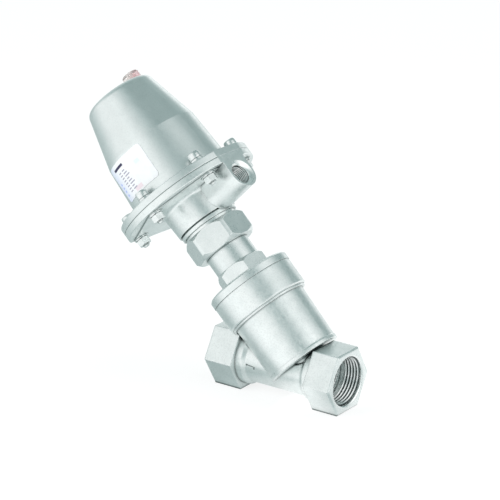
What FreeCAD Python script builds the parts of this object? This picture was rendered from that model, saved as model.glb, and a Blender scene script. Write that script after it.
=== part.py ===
import FreeCAD, Part
import math
import os
import re

import Sketcher

Vector = FreeCAD.Vector

doc = FreeCAD.newDocument("AngleSeatPistonValve")
sheet = doc.addObject("Spreadsheet::Sheet", "Sizes")

# Driving sizes in millimetres and degrees.
# The pipe's axis is X, and X = 0 is where the outlet's thread starts, just inside its countersink. The
# actuator's axis leaves the pipe's axis at the crossing and leans back over the inlet. Heights run along the
# actuator's axis.
SIZES = {
    # pipe
    "face_to_face": 99.6,
    "crossing_inset": 26.2,
    "branch_angle": 45.0,
    "end_flats": 41.0,
    "outlet_length": 20.0,
    "inlet_length": 21.6,
    "end_bevel": 0.9,
    "tube_radius": 16.3,
    "neck_radius": 18.3,
    "neck_length": 4.6,
    "neck_slope": 2.6,
    "flow_radius": 12.5,
    "pipe_thread_radius": 16.62,
    "pipe_thread_depth": 17.0,
    "pipe_mouth_radius": 17.7,
    # branch and seat
    "foot_height": 11.0,
    "foot_radius": 25.1,
    "foot_lip": 2.4,
    "foot_lip_rise": 0.45,
    "branch_radius": 26.1,
    "floor_wall": 3.0,
    "chamber_radius": 21.5,
    "seat_height": 8.0,
    "seat_radius": 10.5,
    "seat_land": 1.5,
    "seat_rise": 1.5,
    "seat_well_radius": 13.7,
    "seat_wall": 4.5,
    "collar_height": 52.9,
    "collar_radius": 29.5,
    "collar_length": 18.7,
    "bead_radius": 28.0,
    "bead_length": 1.5,
    "collar_bevel": 0.8,
    "bonnet_thread_radius": 24.0,
    "bonnet_thread_length": 12.1,
    "gasket_thickness": 1.5,
    # bonnet
    "bonnet_disc_radius": 29.85,
    "bonnet_disc_length": 5.7,
    "bonnet_disc_bevel": 1.2,
    "bonnet_flats": 32.2,
    "bonnet_hex_length": 10.3,
    "bonnet_hex_inset": 2.4,
    "bonnet_hex_drop": 2.3,
    "bonnet_hex_turn": 53.0,
    "neck_tube_radius": 15.75,
    "neck_tube_length": 13.4,
    "neck_thread_radius": 14.9,
    "stem_bush_radius": 8.0,
    "stem_bush_length": 14.0,
    "packing_radius": 10.0,
    "packing_depth": 47.0,
    "thread_play": 0.1,
    "stem_play": 0.06,
    "stem_clearance": 0.6,
    # packing, from below
    "disc_spring_wall": 1.2,
    "disc_spring_rise": 0.9,
    "disc_spring_clearance": 0.46,
    "disc_spring_count": 4,
    "packing_washer_wall": 2.0,
    "packing_ring_length": 4.0,
    "packing_ring_vee_height": 1.3,
    "packing_ring_count": 4,
    "gland_length": 12.0,
    "gland_slot_width": 3.0,
    "gland_slot_depth": 2.5,
    # lock nut and its washer
    "nut_flats": 41.0,
    "nut_length": 17.0,
    "nut_corner_radius": 23.0,
    "nut_inset": 3.1,
    "nut_drop": 3.5,
    "washer_radius": 19.1,
    "washer_thickness": 2.3,
    # lower housing
    "base_lip_radius": 20.9,
    "base_lip_length": 2.4,
    "base_groove_radius": 20.1,
    "base_groove_length": 0.9,
    "housing_low_radius": 21.9,
    "housing_top_radius": 23.0,
    "housing_length": 26.7,
    "cup_corner_round": 2.6,
    "neck_hole_depth": 12.9,
    "neck_end_gap": 0.8,
    "flange_radius": 50.2,
    "flange_thickness": 4.8,
    "flange_rim_bevel": 0.4,
    "port_flat_depth": 1.6,
    "back_flat_depth": 9.6,
    "screw_pad_inset": 8.3,
    "screw_pad_rise": 0.8,
    "screw_pad_round": 5.2,
    "dish_radius": 32.0,
    "dish_depth": 2.5,
    "port_height": 10.9,
    "port_boss_radius": 10.7,
    "port_thread_radius": 6.58,
    "port_thread_depth": 13.0,
    "port_mouth_radius": 9.2,
    "port_mouth_depth": 2.6,
    "port_drill_radius": 3.0,
    "port_riser_place": 28.5,
    "housing_bush_radius": 8.0,
    "housing_bush_length": 5.9,
    "stem_ring_length": 2.6,
    "flange_ring_radius": 35.4,
    "flange_ring_width": 2.6,
    "flange_ring_depth": 1.6,
    # flange screws
    "bolt_edge_distance": 7.8,
    "bolt_turn": 4.2,
    "bolt_count": 6,
    "bolt_hole_radius": 2.75,
    "screw_radius": 2.5,
    "screw_head_radius": 4.25,
    "screw_head_length": 5.0,
    "screw_bevel": 0.4,
    "screw_tail": 1.6,
    "socket_flats": 4.0,
    "socket_depth": 2.5,
    "flange_nut_flats": 8.0,
    "flange_nut_length": 4.7,
    "small_hex_inset": 0.6,
    "small_hex_drop": 0.5,
    "flat_washer_radius": 5.1,
    "flat_washer_wall": 1.0,
    "spring_washer_radius": 4.6,
    "spring_washer_wall": 1.3,
    "spring_washer_slit": 0.8,
    # upper housing
    "cover_foot_radius": 36.4,
    "cover_bend_radius": 34.1,
    "cover_bend_height": 42.0,
    "cover_top_radius": 24.4,
    "cover_height": 82.0,
    "cover_wall": 3.0,
    "cover_edge_round": 4.6,
    "cover_foot_round": 0.9,
    "cylinder_radius": 31.5,
    "cylinder_ledge": 1.2,
    # stem and plug
    "stem_radius": 5.0,
    "plug_socket_depth": 10.0,
    "plug_web": 3.0,
    "plug_radius": 13.1,
    "plug_length": 9.0,
    "plug_hub_radius": 7.2,
    "plug_hub_length": 4.0,
    "seal_thickness": 3.0,
    "seal_stand": 0.5,
    "seal_radius": 12.3,
    "seat_gap": 0.1,
    "plate_radius": 9.8,
    "plate_thickness": 2.0,
    "disc_thread_radius": 3.0,
    "disc_nut_flats": 10.0,
    "disc_nut_length": 5.0,
    "disc_thread_tail": 1.0,
    # piston
    "stroke": 8.0,
    "piston_rise": 3.5,
    "piston_length": 12.5,
    "piston_play": 0.3,
    "slide_play": 0.05,
    "piston_seal_length": 4.4,
    "piston_seal_depth": 3.6,
    "piston_seal_height": 6.4,
    "piston_guide_length": 4.0,
    "piston_guide_depth": 1.6,
    "piston_guide_height": 1.4,
    "piston_edge": 0.8,
    "piston_hollow_radius": 11.4,
    "piston_hollow_depth": 5.0,
    "piston_hole_radius": 4.05,
    "piston_thread_radius": 4.0,
    "piston_ring_length": 1.8,
    "piston_ring_radius": 6.0,
    "piston_washer_radius": 7.3,
    "piston_washer_wall": 1.6,
    "piston_nut_flats": 13.0,
    "piston_nut_length": 6.4,
    "piston_thread_tail": 1.2,
    # closing springs and their plate
    "outer_coil_radius": 18.6,
    "outer_wire": 3.0,
    "outer_turns": 5.0,
    "inner_coil_radius": 9.5,
    "inner_wire": 2.4,
    "inner_turns": 5.0,
    "coil_play": 0.5,
    "spring_plate_wall": 1.5,
    "spring_plate_radius": 20.7,
    # indicator
    "indicator_place": 14.5,
    "indicator_turn": 30.0,
    "cap_radius": 6.1,
    "cap_height": 6.9,
    "cap_spigot_radius": 4.4,
    "cap_hole_radius": 4.5,
    "cap_bore_radius": 2.9,
    "cap_roof": 1.2,
    "cap_edge_round": 1.6,
    "cap_ring_radius": 5.7,
    "cap_ring_wall": 0.9,
    "pin_radius": 1.5,
    "pin_head_radius": 2.2,
    "pin_head_length": 6.0,
    "pin_root": 4.0,
    "pin_sunk": 2.7,
}

for row, (alias, amount) in enumerate(SIZES.items(), start=1):
    sheet.set(f"A{row}", str(amount))
    sheet.setAlias(f"A{row}", alias)
doc.recompute()


def formula(words):
    """The same words as a live formula on the sheet."""
    return re.sub(r"[a-z][a-z_]*", lambda m: "Sizes." * (m.group() in SIZES) + m.group(), str(words))


def size(words):
    """What the words come to with the sheet's present sizes."""
    return float(sheet.evalExpression(formula(words)))


# Where the crossing lies on X, and the heights along the actuator's axis at which the pieces meet.
CROSSING = "(pipe_mouth_radius - pipe_thread_radius - crossing_inset)"
COLLAR_TOP = "(collar_height + collar_length)"
BONNET_END = f"({COLLAR_TOP} - bonnet_thread_length)"
HEX_BASE = f"({COLLAR_TOP} + bonnet_disc_length)"
NUT_BASE = f"({HEX_BASE} + bonnet_hex_length + neck_tube_length)"
NUT_TOP = f"({NUT_BASE} + nut_length)"
HOUSING_BASE = f"({NUT_TOP} + washer_thickness)"
PARTING = f"({HOUSING_BASE} + housing_length)"
NECK_TOP = f"({HOUSING_BASE} + neck_hole_depth - neck_end_gap)"
COVER_TOP = f"({PARTING} + cover_height)"
SEAL_BASE = "(seat_height + seat_gap)"
PLUG_BASE = f"({SEAL_BASE} + seal_stand)"
PLUG_WEB = f"({SEAL_BASE} + seal_thickness)"
STEM_STEP = f"({PLUG_WEB} + plug_web)"
PISTON_BASE = f"({PARTING} + piston_rise)"
PISTON_TOP = f"({PISTON_BASE} + piston_length)"
PISTON_FLOOR = f"({PISTON_TOP} - piston_hollow_depth)"
PACKING_BASE = f"({NECK_TOP} - packing_depth)"
BUSH_TOP = f"({PARTING} - dish_depth)"
SPRING_PLATE = f"({COVER_TOP} - cover_wall - spring_plate_wall)"

# How far the flange's flats and its screws stand from the axis.
PORT_FLAT = "(flange_radius - port_flat_depth)"
BACK_FLAT = "(flange_radius - back_flat_depth)"
BOLT_CIRCLE = "(flange_radius - bolt_edge_distance)"


def origin_plane(body, role):
    """One of the body's own three planes."""
    return next(item for item in body.Origin.OriginFeatures if item.Role == role)


def new_sketch(body, name, role="XZ_Plane", lift=None):
    """An empty sketch on one of the body's planes, lifted off it where a lift is given."""
    sketch = body.newObject("Sketcher::SketchObject", name)
    sketch.AttachmentSupport = [(origin_plane(body, role), "")]
    sketch.MapMode = "FlatFace"
    if lift:
        sketch.setExpression("AttachmentOffset.Base.z", formula(lift))
    return sketch


def hold(sketch, geometry, spot, across, up):
    """Ties one point of the sketch to the sheet, by its distances from the sketch's origin."""
    for kind, axis, words in (("DistanceX", -2, across), ("DistanceY", -1, up)):
        if words == "0":
            sketch.addConstraint(Sketcher.Constraint("PointOnObject", geometry, spot, axis))
        else:
            number = sketch.addConstraint(Sketcher.Constraint(kind, -1, 1, geometry, spot, size(words)))
            sketch.setExpression(f"Constraints[{number}]", formula(words))


def outline(sketch, corners):
    """A closed outline of straight runs through the corners, each given as (across, up) in words."""
    points = [Vector(size(across), size(up), 0) for across, up in corners]
    first = sketch.GeometryCount
    for start, end in zip(points, points[1:] + points[:1]):
        sketch.addGeometry(Part.LineSegment(start, end))
    last = first + len(corners) - 1
    for line in range(first, last + 1):
        following = line + 1 if line < last else first
        sketch.addConstraint(Sketcher.Constraint("Coincident", line, 2, following, 1))
        hold(sketch, line, 1, *corners[line - first])


def circle(sketch, radius, across="0", up="0"):
    """A circle tied to the sheet by its radius and its centre."""
    ring = sketch.addGeometry(Part.Circle(Vector(size(across), size(up), 0), Vector(0, 0, 1), size(radius)))
    number = sketch.addConstraint(Sketcher.Constraint("Radius", ring, size(radius)))
    sketch.setExpression(f"Constraints[{number}]", formula(radius))
    hold(sketch, ring, 3, across, up)


def turn(body, name, corners, kind="PartDesign::Revolution"):
    """Material, or a cut with PartDesign::Groove, turned about the body's Z axis.

    The corners are (radius, height).
    """
    sketch = new_sketch(body, name + "_outline")
    outline(sketch, corners)
    turned = body.newObject(kind, name)
    turned.Profile = sketch
    turned.ReferenceAxis = (sketch, ["V_Axis"])
    turned.Angle = 360
    return turned


def pad(body, name, sketch, length):
    """The sketch carried straight up by a length."""
    raised = body.newObject("PartDesign::Pad", name)
    raised.Profile = sketch
    raised.setExpression("Length", formula(length))
    return raised


def drill(body, name, sketch, depth, reverse=False):
    """The sketch cut into the body by a depth."""
    before = body.Shape.Volume
    cut = body.newObject("PartDesign::Pocket", name)
    cut.Profile = sketch
    cut.setExpression("Length", formula(depth))
    cut.Reversed = reverse
    doc.recompute()
    if not cut.Shape.Volume < before:
        raise ValueError(f"{name} in {body.Label} cuts nothing")
    return cut


def ring_edges(shape, radius, height):
    """Names of the round edges about Z with this radius at this height."""
    names = []
    for number, edge in enumerate(shape.Edges, start=1):
        if edge.Curve.TypeId != "Part::GeomCircle" or abs(edge.Curve.Radius - size(radius)) > 0.01:
            continue
        middle = edge.Curve.Center
        if abs(middle.z - size(height)) < 0.01 and math.hypot(middle.x, middle.y) < 0.01:
            names.append(f"Edge{number}")
    return names


def soften(body, name, edges, amount, kind="PartDesign::Fillet"):
    """Rounds the named edges, or bevels them with PartDesign::Chamfer."""
    base = body.Tip
    dressed = body.newObject(kind, name)
    dressed.Base = (base, edges)
    dressed.setExpression("Radius" if kind.endswith("Fillet") else "Size", formula(amount))
    doc.recompute()
    return dressed


def repeat_round(body, name, feature, count, role="Z_Axis"):
    """The feature repeated evenly about one of the body's axes."""
    pattern = body.newObject("PartDesign::PolarPattern", name)
    pattern.Originals = [feature]
    pattern.Axis = (origin_plane(body, role), [""])
    pattern.Angle = 360
    pattern.setExpression("Occurrences", formula(count))
    body.Tip = pattern
    return pattern


def on_branch(piece, height="0"):
    """Stands a piece on the actuator's axis at a height above the crossing."""
    piece.Placement.Rotation = FreeCAD.Rotation(Vector(0, -1, 0), size("branch_angle"))
    piece.setExpression("Placement.Rotation.Angle", formula("branch_angle"))
    piece.setExpression("Placement.Base.x", formula(f"{CROSSING} - {height} * sin(branch_angle)"))
    piece.setExpression("Placement.Base.z", formula(f"{height} * cos(branch_angle)"))
    return piece


def named_body(label):
    body = doc.addObject("PartDesign::Body", label)
    body.Label = label
    return body


def turned_piece(label, height, corners):
    """A piece turned in one go, standing on the actuator's axis."""
    body = named_body(label)
    turn(body, label + "_turning", corners)
    return on_branch(body, height)


def washer(label, height, hole, outer, wall):
    return turned_piece(label, height, [(hole, "0"), (outer, "0"), (outer, wall), (hole, wall)])


def hexagon(sketch, flats, sideways=False):
    """A hexagon with two corners on the sketch's upright axis, or sideways on its level axis."""
    half = f"({flats}) / 2"
    corner = f"({flats}) / sqrt(3)"
    corners = [
        ("0", corner),
        (f"-{half}", f"{corner} / 2"),
        (f"-{half}", f"-{corner} / 2"),
        ("0", f"-{corner}"),
        (half, f"-{corner} / 2"),
        (half, f"{corner} / 2"),
    ]
    if sideways:
        corners = [(up, across) for across, up in corners]
    outline(sketch, corners)


def bevel_corners(body, name, flats, height, inset, drop, upward=True):
    """Turns the corners off a hexagon's end, inset at the end's face and down by the drop at the corners."""
    corner = f"(({flats}) / sqrt(3))"
    inner = f"({corner} - {inset})"
    outer = f"({corner} + {inset})"
    low = f"({height} - {drop})" if upward else f"({height} + {drop})"
    turn(body, name, [(inner, height), (outer, height), (outer, low), (corner, low)], "PartDesign::Groove")


def hex_nut(label, flats, length, hole, inset, drop, sideways=False):
    """A hexagon nut with a plain bore and both ends' corners turned off."""
    body = named_body(label)
    sketch = new_sketch(body, label + "_hexagon", "XY_Plane")
    hexagon(sketch, flats, sideways)
    pad(body, label + "_block", sketch, length)
    bore = new_sketch(body, label + "_bore", "XY_Plane")
    circle(bore, hole)
    doc.recompute()
    drill(body, label + "_hole", bore, length, reverse=True)
    bevel_corners(body, label + "_top", flats, length, inset, drop)
    bevel_corners(body, label + "_foot", flats, "0", inset, drop, upward=False)
    return body


def small_nut(label, flats, length, hole, sideways=False):
    return hex_nut(label, flats, length, hole, "small_hex_inset", "small_hex_drop", sideways)


def half_space(label, height, above):
    """A large block over or under a height on the actuator's axis, in the crossing's own frame."""
    reach = "(face_to_face * 2)"
    block = doc.addObject("Part::Box", label)
    for side in ("Length", "Width", "Height"):
        block.setExpression(side, formula(reach))
    low = height if above else f"({height} - {reach})"
    block.Placement.Rotation = FreeCAD.Rotation(Vector(0, -1, 0), size("branch_angle"))
    block.setExpression("Placement.Rotation.Angle", formula("branch_angle"))
    half = f"({reach} / 2)"
    level = f"-{half} * cos(branch_angle) - {low} * sin(branch_angle)"
    upright = f"-{half} * sin(branch_angle) + {low} * cos(branch_angle)"
    block.setExpression("Placement.Base.x", formula(level))
    block.setExpression("Placement.Base.y", formula(f"-{half}"))
    block.setExpression("Placement.Base.z", formula(upright))
    return block


def combined(kind, label, *shapes):
    """A boolean of two or more shapes."""
    result = doc.addObject(kind, label)
    if kind in ("Part::MultiFuse", "Part::MultiCommon"):
        result.Shapes = list(shapes)
    else:
        result.Base, result.Tool = shapes
    return result


# Valve body: one casting. The pipe has a hexagon at each end, the branch stands on it at the angle,
# and inside an inclined wall carries the raised seat.
def valve_casting():
    """The casting's outside, in the crossing's own frame."""
    body = named_body("valve_body_casting")
    outlet = "crossing_inset"
    inlet = "(crossing_inset - face_to_face)"
    out_hex = f"({outlet} - outlet_length)"
    in_hex = f"({inlet} + inlet_length)"
    run = new_sketch(body, "pipe_outline")
    outline(
        run,
        [
            (f"{inlet} + inlet_length / 2", "0"),
            (f"{outlet} - outlet_length / 2", "0"),
            (f"{outlet} - outlet_length / 2", "neck_radius"),
            (f"{out_hex} - neck_length", "neck_radius"),
            (f"{out_hex} - neck_length - neck_slope", "tube_radius"),
            (f"{in_hex} + neck_length + neck_slope", "tube_radius"),
            (f"{in_hex} + neck_length", "neck_radius"),
            (f"{inlet} + inlet_length / 2", "neck_radius"),
        ],
    )
    pipe = body.newObject("PartDesign::Revolution", "pipe")
    pipe.Profile = run
    pipe.ReferenceAxis = (run, ["H_Axis"])
    pipe.Angle = 360
    for name, place in (("outlet", out_hex), ("inlet", inlet)):
        sketch = new_sketch(body, name + "_hexagon", "YZ_Plane", place)
        hexagon(sketch, "end_flats", sideways=True)
        pad(body, name + "_end", sketch, name + "_length")
    doc.recompute()
    rims = [
        f"Edge{number}"
        for number, edge in enumerate(body.Shape.Edges, start=1)
        if edge.Curve.TypeId == "Part::GeomLine"
        and edge.BoundBox.XLength < 0.01
        and min(abs(edge.BoundBox.XMin - size(outlet)), abs(edge.BoundBox.XMin - size(inlet))) < 0.01
    ]
    soften(body, "end_bevels", rims, "end_bevel", "PartDesign::Chamfer")
    branch = new_sketch(body, "branch_outline")
    branch.AttachmentOffset = FreeCAD.Placement(Vector(0, 0, 0), FreeCAD.Rotation(Vector(0, 0, 1), 1))
    branch.setExpression("AttachmentOffset.Rotation.Angle", formula("branch_angle"))
    lip = "(foot_radius + foot_lip_rise)"
    outline(
        branch,
        [
            ("0", "foot_height"),
            (lip, "foot_height"),
            (lip, "foot_height + foot_lip"),
            ("foot_radius", "foot_height + foot_lip + foot_lip_rise"),
            ("branch_radius", "collar_height - bead_length"),
            ("bead_radius", "collar_height - bead_length"),
            ("bead_radius", "collar_height"),
            ("collar_radius - collar_bevel", "collar_height"),
            ("collar_radius", "collar_height + collar_bevel"),
            ("collar_radius", COLLAR_TOP),
            ("0", COLLAR_TOP),
        ],
    )
    stand = body.newObject("PartDesign::Revolution", "branch")
    stand.Profile = branch
    stand.ReferenceAxis = (branch, ["V_Axis"])
    stand.Angle = 360
    return body


def tube_cutter(label, radius, start, length):
    """A round cutter along the pipe's axis."""
    cutter = doc.addObject("Part::Cylinder", label)
    cutter.setExpression("Radius", formula(radius))
    cutter.setExpression("Height", formula(length))
    cutter.Placement.Rotation = FreeCAD.Rotation(Vector(0, 1, 0), 90)
    cutter.setExpression("Placement.Base.x", formula(start))
    return cutter


def mouth_cutter(label, start, outward):
    """The countersink of a pipe mouth, widest at the face."""
    cutter = doc.addObject("Part::Cone", label)
    cutter.setExpression("Radius1", formula("pipe_thread_radius" if outward else "pipe_mouth_radius"))
    cutter.setExpression("Radius2", formula("pipe_mouth_radius" if outward else "pipe_thread_radius"))
    cutter.setExpression("Height", formula("pipe_mouth_radius - pipe_thread_radius"))
    cutter.Placement.Rotation = FreeCAD.Rotation(Vector(0, 1, 0), 90)
    cutter.setExpression("Placement.Base.x", formula(start))
    return cutter


def valve_body():
    casting = valve_casting()
    outlet = "crossing_inset"
    inlet = "(crossing_inset - face_to_face)"
    countersink = "(pipe_mouth_radius - pipe_thread_radius)"
    outlet_end = f"({outlet} - pipe_thread_depth)"
    inlet_bore = combined(
        "Part::MultiCommon",
        "inlet_bore",
        tube_cutter("inlet_drill", "flow_radius", inlet, "face_to_face"),
        half_space("over_seat", "seat_height", True),
    )
    outlet_bore = combined(
        "Part::MultiCommon",
        "outlet_bore",
        tube_cutter("outlet_drill", "flow_radius", inlet, "face_to_face"),
        half_space("under_seat_wall", "(seat_height - seat_wall)", False),
    )
    chamber = named_body("chamber")
    step = "(seat_height - seat_rise)"
    floor = "(foot_height + floor_wall)"
    land = "(seat_radius + seat_land)"
    turn(
        chamber,
        "chamber_turning",
        [
            ("0", "seat_height"),
            (land, "seat_height"),
            (land, step),
            ("seat_well_radius", step),
            ("seat_well_radius", floor),
            ("chamber_radius", floor),
            ("chamber_radius", f"{BONNET_END} - gasket_thickness"),
            ("bonnet_thread_radius", f"{BONNET_END} - gasket_thickness"),
            ("bonnet_thread_radius", COLLAR_TOP),
            ("0", COLLAR_TOP),
        ],
    )
    seat_hole = named_body("seat_hole")
    turn(
        seat_hole,
        "seat_hole_turning",
        [
            ("0", "-seat_wall / 2"),
            ("seat_radius", "-seat_wall / 2"),
            ("seat_radius", "seat_height"),
            ("0", "seat_height"),
        ],
    )
    for cutter in (chamber, seat_hole):
        cutter.Placement.Rotation = FreeCAD.Rotation(Vector(0, -1, 0), size("branch_angle"))
        cutter.setExpression("Placement.Rotation.Angle", formula("branch_angle"))
    hollow = combined(
        "Part::MultiFuse",
        "valve_body_hollow",
        inlet_bore,
        outlet_bore,
        chamber,
        seat_hole,
        tube_cutter("outlet_thread", "pipe_thread_radius", outlet_end, "pipe_thread_depth"),
        tube_cutter("inlet_thread", "pipe_thread_radius", inlet, "pipe_thread_depth"),
        mouth_cutter("outlet_mouth", f"{outlet} - {countersink}", True),
        mouth_cutter("inlet_mouth", inlet, False),
    )
    body = combined("Part::Cut", "valve_body", casting, hollow)
    body.Label = "valve_body"
    body.setExpression("Placement.Base.x", formula(CROSSING))
    return body


# Bonnet: a turned piece screwed into the branch by its spigot. It has a hexagon for a spanner, and its neck
# holds the stem packing and carries the actuator on its thread.
def bonnet():
    body = named_body("bonnet")
    low = "(bonnet_thread_length)"
    disc_top = f"({low} + bonnet_disc_length)"
    hex_top = f"({disc_top} + bonnet_hex_length)"
    neck_top = f"({hex_top} + neck_tube_length)"
    end = f"({NECK_TOP} - {BONNET_END})"
    bush_end = "stem_bush_length"
    hole = "(stem_radius + stem_clearance)"
    packing = f"({end} - packing_depth)"
    turn(
        body,
        "bonnet_turning",
        [
            ("stem_bush_radius", "0"),
            ("bonnet_thread_radius - thread_play", "0"),
            ("bonnet_thread_radius - thread_play", low),
            ("bonnet_disc_radius", low),
            ("bonnet_disc_radius", f"{disc_top} - bonnet_disc_bevel"),
            ("bonnet_disc_radius - bonnet_disc_bevel", disc_top),
            ("neck_tube_radius", disc_top),
            ("neck_tube_radius", neck_top),
            ("neck_thread_radius", neck_top),
            ("neck_thread_radius", end),
            ("packing_radius", end),
            ("packing_radius", packing),
            (hole, packing),
            (hole, bush_end),
            ("stem_bush_radius", bush_end),
        ],
    )
    block = new_sketch(body, "bonnet_hexagon", "XY_Plane", disc_top)
    block.AttachmentOffset = FreeCAD.Placement(Vector(0, 0, 0), FreeCAD.Rotation(Vector(0, 0, 1), 1))
    block.setExpression("AttachmentOffset.Rotation.Angle", formula("bonnet_hex_turn"))
    hexagon(block, "bonnet_flats")
    circle(block, "(neck_tube_radius + stem_bush_radius) / 2")
    pad(body, "bonnet_spanner_faces", block, "bonnet_hex_length")
    doc.recompute()
    bevel_corners(body, "bonnet_hexagon_top", "bonnet_flats", hex_top, "bonnet_hex_inset", "bonnet_hex_drop")
    return on_branch(body, BONNET_END)


# Lower housing: a cast cup screwed on the bonnet's neck. Its flange is round with a flat over the air port
# and one at the back, and a hexagonal pad under it has a round corner about each screw. The port's boss
# stands out under the flange, and its drilling turns up into the space under the piston.
def lower_housing():
    body = named_body("lower_housing")
    rim = "(flange_radius - flange_rim_bevel)"
    rim_base = "(housing_length - flange_thickness)"
    under = f"({rim_base} - screw_pad_rise)"
    groove = "base_lip_length"
    wall_base = "(base_lip_length + base_groove_length)"
    dish = "(housing_length - dish_depth)"
    turn(
        body,
        "cup",
        [
            ("0", "0"),
            ("base_lip_radius", "0"),
            ("base_lip_radius", groove),
            ("base_groove_radius", groove),
            ("base_groove_radius", wall_base),
            ("housing_low_radius", wall_base),
            ("housing_top_radius", under),
            ("housing_top_radius", rim_base),
            (rim, rim_base),
            ("flange_radius", f"{rim_base} + flange_rim_bevel"),
            ("flange_radius", "housing_length - flange_rim_bevel"),
            (rim, "housing_length"),
            ("0", "housing_length"),
        ],
    )
    doc.recompute()
    flatten(body, "port_flat", PORT_FLAT, "flange_radius * 2", "housing_length")
    flatten(body, "back_flat", "-flange_radius * 2", f"-{BACK_FLAT}", "housing_length")
    screw_pad = new_sketch(body, "screw_pad_outline", "XY_Plane", under)
    screw_pad.AttachmentOffset = FreeCAD.Placement(Vector(0, 0, 0), FreeCAD.Rotation(Vector(0, 0, 1), 1))
    screw_pad.setExpression("AttachmentOffset.Rotation.Angle", formula("bolt_turn"))
    hexagon(screw_pad, "(flange_radius - screw_pad_inset) * 2")
    pad(body, "screw_pad", screw_pad, "screw_pad_rise")
    doc.recompute()
    corners = [
        f"Edge{number}"
        for number, edge in enumerate(body.Shape.Edges, start=1)
        if edge.Curve.TypeId == "Part::GeomLine"
        and abs(edge.BoundBox.ZLength - size("screw_pad_rise")) < 0.01
        and abs(edge.BoundBox.ZMin - size(under)) < 0.01
    ]
    soften(body, "screw_pad_corners", corners, "screw_pad_round")
    soften(body, "cup_corner", ring_edges(body.Shape, "housing_top_radius", under), "cup_corner_round")
    boss = new_sketch(body, "port_boss_outline", "YZ_Plane")
    radius = size("port_boss_radius")
    centre = size("port_height")
    inside_flange = "(housing_length - flange_thickness / 2)"
    top = size(inside_flange)
    arc = boss.addGeometry(
        Part.ArcOfCircle(Part.Circle(Vector(0, centre, 0), Vector(0, 0, 1), radius), math.pi, 2 * math.pi)
    )
    right = boss.addGeometry(Part.LineSegment(Vector(radius, centre, 0), Vector(radius, top, 0)))
    lid = boss.addGeometry(Part.LineSegment(Vector(radius, top, 0), Vector(-radius, top, 0)))
    left = boss.addGeometry(Part.LineSegment(Vector(-radius, top, 0), Vector(-radius, centre, 0)))
    for first, second in ((arc, right), (right, lid), (lid, left), (left, arc)):
        boss.addConstraint(Sketcher.Constraint("Coincident", first, 2, second, 1))
    middle = boss.addConstraint(Sketcher.Constraint("DistanceY", -1, 1, arc, 3, centre))
    boss.setExpression(f"Constraints[{middle}]", formula("port_height"))
    hold(boss, right, 1, "port_boss_radius", "port_height")
    hold(boss, right, 2, "port_boss_radius", inside_flange)
    hold(boss, lid, 2, "-port_boss_radius", inside_flange)
    hold(boss, left, 2, "-port_boss_radius", "port_height")
    pad(body, "port_boss", boss, PORT_FLAT)
    hole = "(stem_radius + stem_clearance)"
    counterbore = f"({dish} - housing_bush_length - stem_ring_length)"
    turn(
        body,
        "inside",
        [
            ("0", "0"),
            ("neck_thread_radius + thread_play", "0"),
            ("neck_thread_radius + thread_play", "neck_hole_depth"),
            (hole, "neck_hole_depth"),
            (hole, counterbore),
            ("housing_bush_radius", counterbore),
            ("housing_bush_radius", dish),
            ("dish_radius", dish),
            ("dish_radius", "housing_length"),
            ("0", "housing_length"),
        ],
        "PartDesign::Groove",
    )
    turn(
        body,
        "seal_groove",
        [
            ("flange_ring_radius - flange_ring_width / 2", "housing_length - flange_ring_depth"),
            ("flange_ring_radius + flange_ring_width / 2", "housing_length - flange_ring_depth"),
            ("flange_ring_radius + flange_ring_width / 2", "housing_length"),
            ("flange_ring_radius - flange_ring_width / 2", "housing_length"),
        ],
        "PartDesign::Groove",
    )
    doc.recompute()
    bolt_holes(body, "housing_length", "flange_thickness + screw_pad_rise")
    port_profile = new_sketch(body, "port_outline")
    inner = f"({PORT_FLAT} - port_thread_depth)"
    tip = "(port_riser_place - port_drill_radius)"
    outline(
        port_profile,
        [
            (tip, "port_height"),
            (PORT_FLAT, "port_height"),
            (PORT_FLAT, "port_height + port_mouth_radius"),
            (f"{PORT_FLAT} - port_mouth_depth", "port_height + port_thread_radius"),
            (inner, "port_height + port_thread_radius"),
            (inner, "port_height + port_drill_radius"),
            (tip, "port_height + port_drill_radius"),
        ],
    )
    port = body.newObject("PartDesign::Groove", "port")
    port.Profile = port_profile
    port.ReferenceAxis = (port_profile, ["Edge1"])
    port.Angle = 360
    doc.recompute()
    riser = new_sketch(body, "riser_outline", "XY_Plane", "port_height")
    circle(riser, "port_drill_radius", "port_riser_place")
    drill(body, "riser_hole", riser, "housing_length - port_height", reverse=True)
    return on_branch(body, HOUSING_BASE)


def flatten(body, name, low, high, height):
    """Cuts the flange off straight between two distances from the axis, down from a height."""
    sketch = new_sketch(body, name + "_outline", "XY_Plane", height)
    outline(
        sketch,
        [(low, "-flange_radius"), (high, "-flange_radius"), (high, "flange_radius"), (low, "flange_radius")],
    )
    drill(body, name, sketch, "flange_thickness")


def bolt_holes(body, height, depth):
    """A flange's ring of holes, cut down from a height."""
    sketch = new_sketch(body, body.Label + "_bolt_hole", "XY_Plane", height)
    along = f"-{BOLT_CIRCLE} * sin(bolt_turn)"
    aside = f"{BOLT_CIRCLE} * cos(bolt_turn)"
    circle(sketch, "bolt_hole_radius", along, aside)
    hole = drill(body, body.Label + "_first_hole", sketch, depth)
    repeat_round(body, body.Label + "_bolt_holes", hole, "bolt_count")
    doc.recompute()


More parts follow.
